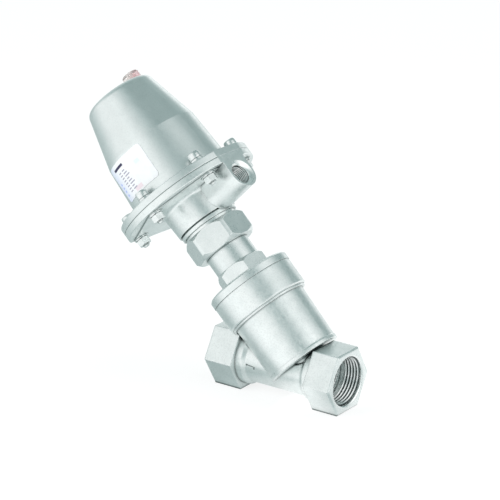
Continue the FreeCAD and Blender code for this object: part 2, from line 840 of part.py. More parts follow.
# Upper housing: a cast cover with a round flange, flattened over the air port. Its foot is bored as the
# piston's cylinder, up to a ledge that stops the piston. Above that the wall leans in to hold the springs.
def upper_housing():
    body = named_body("upper_housing")
    foot = "flange_thickness"
    stop = "(piston_rise + piston_length + stroke)"
    roof = "(cover_height - cover_wall)"
    rim = "(flange_radius - flange_rim_bevel)"
    inner_bend = "(cylinder_radius - cylinder_ledge)"
    turn(
        body,
        "cover",
        [
            ("0", roof),
            ("0", "cover_height"),
            ("cover_top_radius", "cover_height"),
            ("cover_bend_radius", "cover_bend_height"),
            ("cover_foot_radius", foot),
            (rim, foot),
            ("flange_radius", f"{foot} - flange_rim_bevel"),
            ("flange_radius", "flange_rim_bevel"),
            (rim, "0"),
            ("cylinder_radius", "0"),
            ("cylinder_radius", stop),
            (inner_bend, stop),
            (inner_bend, "cover_bend_height"),
            ("cover_top_radius - cover_wall", roof),
        ],
    )
    doc.recompute()
    soften(body, "top_edge", ring_edges(body.Shape, "cover_top_radius", "cover_height"), "cover_edge_round")
    soften(body, "foot_corner", ring_edges(body.Shape, "cover_foot_radius", foot), "cover_foot_round")
    flatten(body, "port_flat", PORT_FLAT, "flange_radius * 2", "flange_thickness")
    bolt_holes(body, "flange_thickness", "flange_thickness")
    window = new_sketch(body, "cap_hole_outline", "XY_Plane", roof)
    circle(window, "cap_hole_radius", *indicator_spot())
    drill(body, "cap_hole", window, "cover_wall", reverse=True)
    return on_branch(body, PARTING)


def indicator_spot():
    """The indicator's place across the actuator, beside the closing springs."""
    return "indicator_place * cos(indicator_turn)", "indicator_place * sin(indicator_turn)"


def on_indicator(piece, height):
    """Stands a piece over the indicator's spot at a height."""
    along, aside = indicator_spot()
    on_branch(piece, height)
    piece.setExpression(
        "Placement.Base.x",
        formula(f"{CROSSING} - {height} * sin(branch_angle) + {along} * cos(branch_angle)"),
    )
    piece.setExpression("Placement.Base.y", formula(aside))
    upright = f"{height} * cos(branch_angle) + {along} * sin(branch_angle)"
    piece.setExpression("Placement.Base.z", formula(upright))
    return piece


# Indicator: a red pin stands on the piston beside the springs and rises into a clear cap in the cover's top.
def indicator():
    cap = named_body("indicator_cap")
    sunk = "(cover_wall)"
    crown = f"({sunk} + cap_height)"
    ceiling = f"({crown} - cap_roof)"
    turn(
        cap,
        "cap_turning",
        [
            ("0", ceiling),
            ("0", crown),
            ("cap_radius", crown),
            ("cap_radius", f"{sunk} + cap_ring_wall"),
            ("cap_spigot_radius", f"{sunk} + cap_ring_wall"),
            ("cap_spigot_radius", "0"),
            ("cap_bore_radius", "0"),
            ("cap_bore_radius", ceiling),
        ],
    )
    doc.recompute()
    soften(cap, "cap_edge", ring_edges(cap.Shape, "cap_radius", crown), "cap_edge_round")
    on_indicator(cap, f"({COVER_TOP} - cover_wall)")
    ring = named_body("cap_ring")
    inner = "cap_hole_radius"
    turn(
        ring,
        "cap_ring_turning",
        [
            (inner, "0"),
            ("cap_ring_radius", "0"),
            ("cap_ring_radius", "cap_ring_wall"),
            (inner, "cap_ring_wall"),
        ],
    )
    on_indicator(ring, COVER_TOP)
    pin = named_body("indicator_pin")
    base = f"({PISTON_TOP} - pin_root)"
    top = f"({COVER_TOP} - pin_sunk - {base})"
    turn(
        pin,
        "pin_turning",
        [
            ("0", "0"),
            ("pin_radius", "0"),
            ("pin_radius", f"{top} - pin_head_length"),
            ("pin_head_radius", f"{top} - pin_head_length"),
            ("pin_head_radius", top),
            ("0", top),
        ],
    )
    on_indicator(pin, base)
    return [cap, ring, pin]


# Packing: disc springs, a washer, V rings and a screwed gland fill the bonnet's neck round the stem.
def packing():
    clear = "(stem_radius + stem_play)"
    loose = "(stem_radius + disc_spring_clearance)"
    wide = "(packing_radius - stem_play)"
    spring_pitch = "(disc_spring_wall + disc_spring_rise)"
    washer_base = f"({PACKING_BASE} + disc_spring_count * {spring_pitch})"
    rings_base = f"({washer_base} + packing_washer_wall)"
    gland_base = f"({rings_base} + packing_ring_count * packing_ring_length)"
    spring = turned_master(
        "disc_spring",
        [
            (loose, "disc_spring_rise"),
            (wide, "0"),
            (wide, "disc_spring_wall"),
            (loose, "disc_spring_rise + disc_spring_wall"),
        ],
    )
    ring = turned_master(
        "packing_ring",
        [
            (clear, "0"),
            (f"({clear} + {wide}) / 2", "packing_ring_vee_height"),
            (wide, "0"),
            (wide, "packing_ring_length"),
            (f"({clear} + {wide}) / 2", "packing_ring_length + packing_ring_vee_height"),
            (clear, "packing_ring_length"),
        ],
    )
    springs = stacked("packing_springs", spring, PACKING_BASE, spring_pitch, "disc_spring_count", flip=True)
    rings = stacked("packing_rings", ring, rings_base, "packing_ring_length", "packing_ring_count")
    follower = turned_piece(
        "packing_washer",
        washer_base,
        [
            (clear, "0"),
            (wide, "0"),
            (wide, "packing_washer_wall"),
            (f"({clear} + {wide}) / 2", "packing_washer_wall + packing_ring_vee_height"),
            (clear, "packing_washer_wall"),
        ],
    )
    gland = named_body("packing_gland")
    turn(
        gland,
        "gland_turning",
        [
            (clear, "0"),
            (f"({clear} + {wide}) / 2", "packing_ring_vee_height"),
            (wide, "0"),
            (wide, "gland_length"),
            (clear, "gland_length"),
        ],
    )
    slot = new_sketch(gland, "gland_slot_outline", "XY_Plane", "gland_length")
    half = "gland_slot_width / 2"
    outline(
        slot,
        [
            ("-packing_radius", f"-{half}"),
            ("packing_radius", f"-{half}"),
            ("packing_radius", half),
            ("-packing_radius", half),
        ],
    )
    doc.recompute()
    drill(gland, "gland_slot", slot, "gland_slot_depth")
    on_branch(gland, gland_base)
    return [springs, follower, rings, gland]


def turned_master(label, corners):
    """One of a set of like pieces, turned about Z at the origin."""
    body = named_body(label + "_master")
    turn(body, label + "_turning", corners)
    doc.recompute()
    return body


def group(label, shapes, height):
    """Like pieces as separate solids of one sub-part, standing on the actuator's axis."""
    part = doc.addObject("Part::Feature", label)
    part.Label = label
    part.Shape = Part.makeCompound(shapes)
    return on_branch(part, height)


def stacked(label, master, base, pitch, count, flip=False):
    """Copies of a piece one over another. With flip, every second one lies the other way up."""
    shapes = []
    thickness = master.Shape.BoundBox.ZLength
    for number in range(int(size(count))):
        copy = master.Shape.copy()
        if flip and number % 2:
            copy.rotate(Vector(0, 0, thickness / 2), Vector(1, 0, 0), 180)
        copy.translate(Vector(0, 0, number * size(pitch)))
        shapes.append(copy)
    return group(label, shapes, base)


def round_the_flange(label, master, height, lifts=("0",)):
    """Copies of a piece at the flange's bolt holes, one ring of them for each lift above the height."""
    count = int(size("bolt_count"))
    shapes = []
    for lift in lifts:
        for number in range(count):
            copy = master.Shape.copy()
            copy.translate(Vector(0, size(BOLT_CIRCLE), size(lift)))
            copy.rotate(Vector(0, 0, 0), Vector(0, 0, 1), size("bolt_turn") + 360 / count * number)
            shapes.append(copy)
    return group(label, shapes, height)


# Flange fasteners: screws with round socket heads from above, each on a split spring washer and a flat
# washer. Below the flange each has a flat washer and a hexagon nut.
def flange_fasteners():
    upper_washer = f"({PARTING} + flange_thickness)"
    split_base = f"({upper_washer} + flat_washer_wall)"
    head_base = f"({split_base} + spring_washer_wall)"
    lower_washer = f"({PARTING} - flange_thickness - screw_pad_rise - flat_washer_wall)"
    nut_base = f"({lower_washer} - flange_nut_length)"
    tip = f"({nut_base} - screw_tail)"
    shank = f"({head_base} - {tip})"
    crown = f"({shank} + screw_head_length)"
    screw = turned_master(
        "screw",
        [
            ("0", "0"),
            ("screw_radius - screw_bevel", "0"),
            ("screw_radius", "screw_bevel"),
            ("screw_radius", shank),
            ("screw_head_radius", shank),
            ("screw_head_radius", f"{crown} - screw_bevel"),
            ("screw_head_radius - screw_bevel", crown),
            ("0", crown),
        ],
    )
    socket = new_sketch(screw, "socket_outline", "XY_Plane", crown)
    hexagon(socket, "socket_flats")
    doc.recompute()
    drill(screw, "socket", socket, "socket_depth")
    nut = small_nut(
        "flange_nut_master", "flange_nut_flats", "flange_nut_length", "screw_radius", sideways=True
    )
    flat = turned_master(
        "flat_washer",
        [
            ("bolt_hole_radius", "0"),
            ("flat_washer_radius", "0"),
            ("flat_washer_radius", "flat_washer_wall"),
            ("bolt_hole_radius", "flat_washer_wall"),
        ],
    )
    split = turned_master(
        "spring_washer",
        [
            ("bolt_hole_radius", "0"),
            ("spring_washer_radius", "0"),
            ("spring_washer_radius", "spring_washer_wall"),
            ("bolt_hole_radius", "spring_washer_wall"),
        ],
    )
    slit = new_sketch(split, "slit_outline", "XY_Plane")
    half = "spring_washer_slit / 2"
    outline(
        slit,
        [
            ("0", f"-{half}"),
            ("spring_washer_radius * 2", f"-{half}"),
            ("spring_washer_radius * 2", half),
            ("0", half),
        ],
    )
    drill(split, "slit", slit, "spring_washer_wall", reverse=True)
    doc.recompute()
    washer_lifts = ("0", f"({upper_washer} - {lower_washer})")
    return [
        round_the_flange("flange_screws", screw, tip),
        round_the_flange("flat_washers", flat, lower_washer, washer_lifts),
        round_the_flange("spring_washers", split, split_base),
        round_the_flange("flange_nuts", nut, nut_base),
    ]


# Stem and plug: the stem runs from the plug to the piston. The plug holds a flat sealing ring,
# clamped by a plate and a nut on the stem's lower thread.
def stem_and_plug():
    nut_base = f"({SEAL_BASE} - plate_thickness - disc_nut_length)"
    foot = f"({nut_base} - disc_thread_tail)"
    step = f"({STEM_STEP} - {foot})"
    shoulder = f"({PISTON_BASE} - {foot})"
    end = f"({PISTON_FLOOR} + piston_washer_wall + piston_nut_length + piston_thread_tail - {foot})"
    stem = turned_piece(
        "stem",
        foot,
        [
            ("0", "0"),
            ("disc_thread_radius", "0"),
            ("disc_thread_radius", step),
            ("stem_radius", step),
            ("stem_radius", shoulder),
            ("piston_thread_radius", shoulder),
            ("piston_thread_radius", end),
            ("0", end),
        ],
    )
    web = "(seal_thickness - seal_stand)"
    socket = f"({web} + plug_web)"
    hub = "(plug_length)"
    plug = turned_piece(
        "plug",
        PLUG_BASE,
        [
            ("disc_thread_radius", web),
            ("seal_radius", web),
            ("seal_radius", "0"),
            ("plug_radius", "0"),
            ("plug_radius", f"{hub} - plug_hub_length / 2"),
            ("plug_hub_radius", hub),
            ("plug_hub_radius", f"{socket} + plug_socket_depth"),
            ("stem_radius", f"{socket} + plug_socket_depth"),
            ("stem_radius", socket),
            ("disc_thread_radius", socket),
        ],
    )
    seal = washer("seat_seal", SEAL_BASE, "disc_thread_radius", "seal_radius", "seal_thickness")
    plate = washer(
        "seal_plate",
        f"({SEAL_BASE} - plate_thickness)",
        "disc_thread_radius",
        "plate_radius",
        "plate_thickness",
    )
    nut = small_nut("plug_nut", "disc_nut_flats", "disc_nut_length", "disc_thread_radius")
    return [stem, plug, seal, plate, on_branch(nut, nut_base)]


# Piston: a turned disc clamped on the stem's shoulder by a washer and a nut. It carries a lip seal
# and a slide ring, and the closing springs stand in its top.
def piston_group():
    rim = "(cylinder_radius - piston_play)"
    guide_low = "piston_guide_height"
    guide_top = "(piston_guide_height + piston_guide_length)"
    seal_low = "piston_seal_height"
    seal_top = "(piston_seal_height + piston_seal_length)"
    seal_floor = f"({rim} - piston_seal_depth)"
    guide_floor = f"({rim} - piston_guide_depth)"
    floor = "(piston_length - piston_hollow_depth)"
    track_in = "(outer_coil_radius - outer_wire / 2 - coil_play)"
    track_out = "(outer_coil_radius + outer_wire / 2 + coil_play)"
    body = named_body("piston")
    turn(
        body,
        "piston_turning",
        [
            ("piston_ring_radius", "0"),
            (f"{rim} - piston_edge", "0"),
            (rim, "piston_edge"),
            (rim, guide_low),
            (guide_floor, guide_low),
            (guide_floor, guide_top),
            (rim, guide_top),
            (rim, seal_low),
            (seal_floor, seal_low),
            (seal_floor, seal_top),
            (rim, seal_top),
            (rim, "piston_length - piston_edge"),
            (f"{rim} - piston_edge", "piston_length"),
            (track_out, "piston_length"),
            (track_out, floor),
            (track_in, floor),
            (track_in, "piston_length"),
            ("piston_hollow_radius", "piston_length"),
            ("piston_hollow_radius", floor),
            ("piston_hole_radius", floor),
            ("piston_hole_radius", "piston_ring_length"),
            ("piston_ring_radius", "piston_ring_length"),
        ],
    )
    pin_hole = new_sketch(body, "pin_hole_outline", "XY_Plane", "piston_length")
    circle(pin_hole, "pin_radius", *indicator_spot())
    doc.recompute()
    drill(body, "pin_hole", pin_hole, "pin_root")
    on_branch(body, PISTON_BASE)
    touch = "(cylinder_radius - slide_play)"
    guide = washer(
        "piston_guide",
        f"({PISTON_BASE} + {guide_low})",
        guide_floor,
        touch,
        "piston_guide_length",
    )
    lip = "(piston_seal_length / 2)"
    seal = turned_piece(
        "piston_seal",
        f"({PISTON_BASE} + {seal_low})",
        [
            (seal_floor, "0"),
            (f"({seal_floor} + {touch}) / 2", lip),
            (touch, "0"),
            (f"{touch} - piston_play", "piston_seal_length"),
            (seal_floor, "piston_seal_length"),
        ],
    )
    ring = washer(
        "piston_ring",
        PISTON_BASE,
        "piston_hole_radius",
        "piston_ring_radius",
        "piston_ring_length",
    )
    disc = washer(
        "piston_washer",
        PISTON_FLOOR,
        "piston_hole_radius",
        "piston_washer_radius",
        "piston_washer_wall",
    )
    nut = small_nut("piston_nut", "piston_nut_flats", "piston_nut_length", "piston_thread_radius")
    on_branch(nut, f"({PISTON_FLOOR} + piston_washer_wall)")
    return [body, guide, seal, ring, disc, nut]


# Closing springs: two coils of flat-sided wire, one inside the other, with their ends ground flat.
# They stand in the piston's top and press on a plate under the cover's roof.
def closing_springs():
    length = f"({SPRING_PLATE} - {PISTON_FLOOR})"
    springs = []
    for name, coil, wire, turns in (
        ("outer_spring", "outer_coil_radius", "outer_wire", "outer_turns"),
        ("inner_spring", "inner_coil_radius", "inner_wire", "inner_turns"),
    ):
        rise = f"({length} + {wire} * 2)"
        helix = doc.addObject("Part::Helix", name + "_helix")
        helix.setExpression("Radius", formula(coil))
        helix.setExpression("Height", formula(rise))
        helix.setExpression("Pitch", formula(f"{rise} / {turns}"))
        helix.setExpression("Placement.Base.z", formula(f"-{wire}"))
        section = doc.addObject("Part::RegularPolygon", name + "_wire")
        section.Polygon = 4
        section.setExpression("Circumradius", formula(f"{wire} / sqrt(2)"))
        square = FreeCAD.Rotation(Vector(1, 0, 0), 90).multiply(FreeCAD.Rotation(Vector(0, 0, 1), 45))
        section.Placement.Rotation = square
        section.setExpression("Placement.Base.x", formula(coil))
        section.setExpression("Placement.Base.z", formula(f"-{wire}"))
        swept = doc.addObject("Part::Sweep", name + "_sweep")
        swept.Sections = [section]
        swept.Spine = (helix, ["Edge1"])
        swept.Solid = True
        swept.Frenet = True
        limit = doc.addObject("Part::Cylinder", name + "_limit")
        limit.setExpression("Radius", formula(f"{coil} + {wire} * 2"))
        limit.setExpression("Height", formula(length))
        spring = combined("Part::MultiCommon", name, swept, limit)
        spring.Label = name
        springs.append(on_branch(spring, PISTON_FLOOR))
    plate = named_body("spring_plate")
    turn(
        plate,
        "spring_plate_turning",
        [
            ("0", "0"),
            ("spring_plate_radius", "0"),
            ("spring_plate_radius", "spring_plate_wall"),
            ("0", "spring_plate_wall"),
        ],
    )
    hole = new_sketch(plate, "plate_hole_outline", "XY_Plane")
    circle(hole, "cap_bore_radius", *indicator_spot())
    doc.recompute()
    drill(plate, "plate_hole", hole, "spring_plate_wall", reverse=True)
    on_branch(plate, SPRING_PLATE)
    return springs + [plate]


# Rings, bushes and the lock nut that close the joints between the main pieces.
def joint_rings():
    clear = "(stem_radius + stem_play)"
    gasket = washer(
        "bonnet_gasket",
        f"({BONNET_END} - gasket_thickness)",
        "chamber_radius",
        "bonnet_thread_radius",
        "gasket_thickness",
    )
    stem_bush = washer("stem_bush", BONNET_END, clear, "stem_bush_radius", "stem_bush_length")
    nut = hex_nut("lock_nut", "nut_flats", "nut_length", "neck_thread_radius", "nut_inset", "nut_drop")
    sharp_corner = "(nut_flats / sqrt(3) + nut_inset)"
    turn(
        nut,
        "lock_nut_corners",
        [
            ("nut_corner_radius", "0"),
            (sharp_corner, "0"),
            (sharp_corner, "nut_length"),
            ("nut_corner_radius", "nut_length"),
        ],
        "PartDesign::Groove",
    )
    on_branch(nut, NUT_BASE)
    under = washer("seal_washer", NUT_TOP, "neck_thread_radius", "washer_radius", "washer_thickness")
    bush = washer(
        "housing_bush",
        f"({BUSH_TOP} - housing_bush_length)",
        clear,
        "housing_bush_radius",
        "housing_bush_length",
    )
    ring = washer(
        "stem_ring",
        f"({BUSH_TOP} - housing_bush_length - stem_ring_length)",
        clear,
        "housing_bush_radius",
        "stem_ring_length",
    )
    seal = washer(
        "flange_ring",
        f"({PARTING} - flange_ring_depth)",
        "flange_ring_radius - flange_ring_width / 2",
        "flange_ring_radius + flange_ring_width / 2",
        "flange_ring_depth",
    )
    return [gasket, stem_bush, nut, under, bush, ring, seal]


parts = [valve_body(), bonnet(), lower_housing(), upper_housing()]
parts += joint_rings()
parts += packing()
parts += stem_and_plug()
parts += piston_group()
parts += closing_springs()
parts += indicator()
parts += flange_fasteners()
doc.recompute()

for item in doc.Objects:
    if "Invalid" in item.State or "Error" in item.State:
        raise ValueError(f"{item.Label} did not build: {item.State}")

os.makedirs("parts", exist_ok=True)
for part in parts:
    if part.Shape.isNull() or not part.Shape.isValid():
        raise ValueError(f"{part.Label} has no valid shape")
    part.Shape.exportStep(os.path.join("parts", part.Label + ".step"))
    print(f"{part.Label}: {len(part.Shape.Solids)} solids, {part.Shape.Volume / 1000:.2f} cm3")
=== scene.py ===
import bpy
import math
from mathutils import Matrix, Vector


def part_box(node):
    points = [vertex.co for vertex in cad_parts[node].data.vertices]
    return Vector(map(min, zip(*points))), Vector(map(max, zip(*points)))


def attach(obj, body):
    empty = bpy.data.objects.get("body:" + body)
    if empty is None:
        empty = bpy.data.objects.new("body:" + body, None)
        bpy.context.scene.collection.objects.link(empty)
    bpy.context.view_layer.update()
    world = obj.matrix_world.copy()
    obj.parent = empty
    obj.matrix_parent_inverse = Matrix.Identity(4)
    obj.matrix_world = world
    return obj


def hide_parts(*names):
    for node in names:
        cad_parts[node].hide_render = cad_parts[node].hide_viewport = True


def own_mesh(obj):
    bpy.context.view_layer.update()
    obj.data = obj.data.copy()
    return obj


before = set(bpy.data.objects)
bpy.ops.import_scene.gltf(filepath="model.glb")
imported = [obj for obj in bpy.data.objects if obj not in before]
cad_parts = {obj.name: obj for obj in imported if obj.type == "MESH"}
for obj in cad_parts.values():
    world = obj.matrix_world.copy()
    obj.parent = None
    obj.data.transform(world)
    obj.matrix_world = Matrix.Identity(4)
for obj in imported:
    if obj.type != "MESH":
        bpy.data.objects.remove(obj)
bpy.context.view_layer.update()

# Pipe body. One stainless casting: a pipe with two hexagon ends and a branch that leans back over the
# inlet. It is shot-blasted after casting, and the end faces, the seat and the threads are machined.

MM = 0.001
CROSSING = Vector((-25.12, 0, 0)) * MM
PIPE = Vector((1, 0, 0))
FRONT = Vector((0, -1, 0))


class Steps:
    """A tree of shader nodes, built up step by step."""

    def __init__(self, tree):
        self.nodes = tree.nodes
        self.links = tree.links
        self.nodes.clear()

    def put(self, value, socket):
        """Sets a socket to a number, a colour or another node's output."""
        if isinstance(value, bpy.types.NodeSocket):
            self.links.new(value, socket)
        else:
            socket.default_value = value

    def maths(self, kind, *values):
        """One step of arithmetic with numbers."""
        node = self.nodes.new("ShaderNodeMath")
        node.operation = kind
        for value, socket in zip(values, node.inputs):
            self.put(value, socket)
        return node.outputs[0]

    def vector(self, kind, *values, out="Vector"):
        """One step of arithmetic with vectors."""
        node = self.nodes.new("ShaderNodeVectorMath")
        node.operation = kind
        sockets = [socket for socket in node.inputs if socket.enabled]
        for value, socket in zip(values, sockets):
            self.put(value, socket)
        return node.outputs[out]

    def place(self):
        """The point on the piece, in metres, which moves with the piece."""
        return self.nodes.new("ShaderNodeTexCoord").outputs["Object"]

    def cloud(self, size, detail=3.0, where=None, rough=0.55):
        """Soft noise whose features are size metres across."""
        node = self.nodes.new("ShaderNodeTexNoise")
        self.put(where or self.place(), node.inputs["Vector"])
        node.inputs["Scale"].default_value = 1 / size
        node.inputs["Detail"].default_value = detail
        node.inputs["Roughness"].default_value = rough
        return node.outputs["Fac"]

    def span(self, value, low, high, to_low=0.0, to_high=1.0):
        """Turns low into to_low and high into to_high, with a soft passage between them."""
        node = self.nodes.new("ShaderNodeMapRange")
        node.interpolation_type = "SMOOTHSTEP"
        keys = ("Value", "From Min", "From Max", "To Min", "To Max")
        for number, key in zip((value, low, high, to_low, to_high), keys):
            self.put(number, node.inputs[key])
        return node.outputs["Result"]

    def mix(self, share, first, second, kind="MIX"):
        """Goes from the first colour to the second as share goes from 0 to 1."""
        node = self.nodes.new("ShaderNodeMix")
        node.data_type = "RGBA"
        node.blend_type = kind
        self.put(share, node.inputs[0])
        self.put(first, node.inputs[6])
        self.put(second, node.inputs[7])
        return node.outputs[2]

    def bump(self, height, depth, normal=None):
        """Relief that is depth metres deep, on top of an earlier relief or rounding."""
        node = self.nodes.new("ShaderNodeBump")
        node.inputs["Distance"].default_value = depth
        self.put(height, node.inputs["Height"])
        if normal:
            self.put(normal, node.inputs["Normal"])
        return node.outputs["Normal"]

    def round_edges(self, radius):
        """The surface's direction with its edges rounded to a radius in metres."""
        node = self.nodes.new("ShaderNodeBevel")
        node.samples = 6
        node.inputs["Radius"].default_value = radius
        return node.outputs["Normal"]

    def edges(self, rounded):
        """1 on an edge and 0 on open faces, from how far the rounded direction leaves the plain one."""
        plain_normal = self.nodes.new("ShaderNodeNewGeometry").outputs["Normal"]
        alike = self.vector("DOT_PRODUCT", rounded, plain_normal, out="Value")
        return self.span(alike, low=0.995, high=0.86)

    def shelter(self, reach):
        """1 on open faces and 0 in deep corners."""
        node = self.nodes.new("ShaderNodeAmbientOcclusion")
        node.samples = 8
        node.inputs["Distance"].default_value = reach
        return node.outputs["AO"]

    def round_axis(self, direction, start=CROSSING):
        """Height along an axis and distance from it, in metres."""
        offset = self.vector("SUBTRACT", self.place(), tuple(start))
        height = self.vector("DOT_PRODUCT", offset, tuple(direction), out="Value")
        foot = self.nodes.new("ShaderNodeVectorMath")
        foot.operation = "SCALE"
        foot.inputs[0].default_value = tuple(direction)
        self.put(height, foot.inputs["Scale"])
        aside = self.vector("SUBTRACT", offset, foot.outputs[0])
        return height, self.vector("LENGTH", aside, out="Value")

    def lathe_lines(self, direction, pitch, start=CROSSING):
        """The fine rings that a lathe tool leaves, as a height."""
        height, distance = self.round_axis(direction, start)
        place = self.nodes.new("ShaderNodeCombineXYZ")
        self.put(self.maths("DIVIDE", height, pitch), place.inputs["X"])
        self.put(self.maths("DIVIDE", distance, pitch), place.inputs["Y"])
        return self.cloud(1.0, detail=2.0, where=place.outputs[0])


class Finish(Steps):
    """One finish: a new material with one shader, whose sockets the steps feed."""

    def __init__(self, name):
        self.material = bpy.data.materials.new(name)
        self.material.use_nodes = True
        super().__init__(self.material.node_tree)
        self.shader = self.nodes.new("ShaderNodeBsdfPrincipled")
        out = self.nodes.new("ShaderNodeOutputMaterial")
        self.links.new(self.shader.outputs["BSDF"], out.inputs["Surface"])

    def feed(self, key, value):
        """Feeds one of the shader's sockets."""
        self.put(value, self.shader.inputs[key])


EDGE_WEAR_AND_HIGHLIGHT = (0.94, 0.955, 0.95, 1)
PAINTED_SEAM_SHADE = (0.075, 0.11, 0.105, 1)
PATCH_SIZE = 0.011
PIT_SIZE = 0.0009
SPECK_SIZE = 0.0016
SWELL_SIZE = 0.014
GRAIN_SIZE = 0.00055
CORNER_SHADE_REACH = 0.008
LATHE_DEPTH = 0.000012
EDGE_SHARE = 0.55
EDGE_POLISH = -0.08


def steel(name, bright, dull, gloss, rounding, grain, swell, lathe=None, pitting=0.10, seam_shade_reach=0.0022):
    """Bare stainless steel: edges brighter as wear and painted highlight, duller patches, small pits, and
    painted shade in seams and corners.
    """
    made = Finish(name)
    rounded = made.round_edges(rounding)
    edge = made.edges(rounded)
    patch = made.span(made.cloud(PATCH_SIZE, detail=4.0), low=0.34, high=0.68)
    colour = made.mix(patch, (*dull, 1), (*bright, 1))
    pit_noise = made.cloud(PIT_SIZE, rough=0.7)
    pits = made.span(pit_noise, low=0.36, high=0.54, to_low=1.0 - pitting)
    colour = made.mix(1.0, colour, pits, "MULTIPLY")
    # Partly wear and partly a painted highlight: the colour is brightened on edges.
    colour = made.mix(made.maths("MULTIPLY", edge, EDGE_SHARE), colour, EDGE_WEAR_AND_HIGHLIGHT)
    # Painted shade: the colour goes dark in seams and deep corners, by how sheltered each point is.
    seam = made.span(made.shelter(seam_shade_reach), low=0.30, high=0.90)
    corner_shade = made.span(made.shelter(CORNER_SHADE_REACH), low=0.05, high=0.60, to_low=0.70)
    made.feed("Base Color", made.mix(made.maths("MULTIPLY", seam, corner_shade), PAINTED_SEAM_SHADE, colour))
    rough = made.span(made.cloud(SPECK_SIZE), 0.3, 0.7, *gloss)
    made.feed("Roughness", made.maths("MULTIPLY_ADD", edge, EDGE_POLISH, rough))
    made.feed("Metallic", 1.0)
    normal = made.bump(made.cloud(SWELL_SIZE, detail=2.0), swell, rounded)
    normal = made.bump(made.cloud(GRAIN_SIZE, rough=0.65), grain, normal)
    if lathe:
        normal = made.bump(made.lathe_lines(*lathe), LATHE_DEPTH, normal)
    made.feed("Normal", normal)
    return made.material


def dress(material, *names):
    """Gives CAD nodes their finish."""
    for name in names:
        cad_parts[name].material_slots[0].material = material


cast_body = steel("cast_body", bright=(0.86, 0.90, 0.893), dull=(0.80, 0.845, 0.838), gloss=(0.28, 0.43),
                  rounding=0.0012, grain=0.00005, swell=0.00022)
dress(cast_body, "valve_body")


def piece(name, points, faces, material, body, crease=40):
    """A mesh that rides on a body, smooth except where faces meet at more than the crease angle."""
    mesh = bpy.data.meshes.new(name)
    mesh.from_pydata([tuple(point) for point in points], [], faces)
    mesh.validate()
    mesh.polygons.foreach_set("use_smooth", [True] * len(mesh.polygons))
    mesh.set_sharp_from_angle(angle=math.radians(crease))
    mesh.materials.append(material)
    made = bpy.data.objects.new(name, mesh)
    bpy.context.scene.collection.objects.link(made)
    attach(made, body)
    return made


def loft(rings, points, faces, capped=True):
    """Skins a row of equal rings, and closes its two ends if it is capped."""
    first = len(points)
    size = len(rings[0])
    for ring in rings:
        points.extend(ring)
    for row in range(len(rings) - 1):
        low = first + row * size
        high = low + size
        for i in range(size):
            after = (i + 1) % size
            faces.append((low + i, low + after, high + after, high + i))
    if capped:
        last = first + (len(rings) - 1) * size
        faces.append(tuple(first + i for i in reversed(range(size))))
        faces.append(tuple(last + i for i in range(size)))


# Half widths of a thread's ridge in pitches, heights of its foot in millimetres, and its shoulder's
# share of the full height. Both ends of the ridge fade out over a fifth of a turn.
RIDGE_FOOT = 0.47
RIDGE_FLANK = 0.40
RIDGE_CROWN = 0.10
RIDGE_BURIED = -0.04
RIDGE_BASE = 0.02
RIDGE_SHOULDER = 0.93
RIDGE_STEPS = 72
FADE = 0.22
FADED = 0.03


def thread_ridge(name, mouth, inward, side, radius, depth, pitch, length, material):
    """An inside thread: one closed ridge that winds along a bore and fades out at both ends."""
    other = inward.cross(side)
    turns = length / pitch - 1
    rings = []
    for step in range(int(turns * RIDGE_STEPS) + 1):
        turn = step / RIDGE_STEPS
        angle = turn * math.tau
        out = side * math.cos(angle) + other * math.sin(angle)
        rise = depth * min(1.0, turn / FADE + FADED, (turns - turn) / FADE + FADED)
        shoulder = rise * RIDGE_SHOULDER
        run = (turn + 0.5) * pitch
        profile = ((-RIDGE_FOOT, RIDGE_BURIED), (-RIDGE_FLANK, RIDGE_BASE), (-RIDGE_CROWN, shoulder),
                   (0.0, rise), (RIDGE_CROWN, shoulder), (RIDGE_FLANK, RIDGE_BASE),
                   (RIDGE_FOOT, RIDGE_BURIED))
        rings.append([mouth + inward * (run + pitch * across) * MM + out * (radius - height) * MM
                      for across, height in profile])
    points, faces = [], []
    loft(rings, points, faces)
    return piece(name, points, faces, material, "valve", crease=50)


THREAD_ROOT_SHADE = (0.045, 0.06, 0.06, 1)
CUT_BRIGHT = (0.95, 0.97, 0.965, 1)
CUT_STAIN = (0.46, 0.50, 0.495, 1)
STAIN_SIZE = 0.0022
CUT_LINES = 0.00016
CUT_DEPTH = 0.00002


def cut_thread(name, direction, start, root, crest, reach=0.006):
    """Freshly cut threads: bright crests, and roots and deep turns darkened by painted shade."""
    made = Finish(name)
    distance = made.round_axis(direction, start)[1]
    crests = made.span(distance, root, crest)
    # Painted shade: the roots, and turns deep in the sheltered bore, are darkened.
    bright = made.maths("MULTIPLY", crests, made.span(made.shelter(reach), low=0.05, high=0.45))
    stain = made.cloud(STAIN_SIZE)
    colour = made.mix(bright, THREAD_ROOT_SHADE, CUT_BRIGHT)
    colour = made.mix(made.span(stain, low=0.45, high=0.75, to_high=0.12), colour, CUT_STAIN)
    made.feed("Base Color", colour)
    made.feed("Roughness", made.span(stain, 0.3, 0.7, 0.24, 0.40))
    made.feed("Metallic", 1.0)
    made.feed("Normal", made.bump(made.lathe_lines(direction, CUT_LINES, start), CUT_DEPTH))
    return made.material


# Each end: its name, where its face is along the pipe in millimetres, and the way in.
END_FACES = (("outlet", 1.08, -PIPE), ("inlet", -98.52, PIPE))
THREAD_START = 0.88
THREAD_RADIUS = 16.62
THREAD_DEPTH = 1.42
THREAD_PITCH = 2.309
THREAD_LENGTH = 14.9
pipe_cut = cut_thread("pipe_thread_cut", PIPE, CROSSING, root=0.01632, crest=0.01535)
for end, face, inward in END_FACES:
    mouth = PIPE * (face + inward.x * THREAD_START) * MM
    thread_ridge(end + "_thread", mouth, inward, FRONT, THREAD_RADIUS, THREAD_DEPTH, THREAD_PITCH,
                 THREAD_LENGTH, pipe_cut)


RING_STEPS = 96


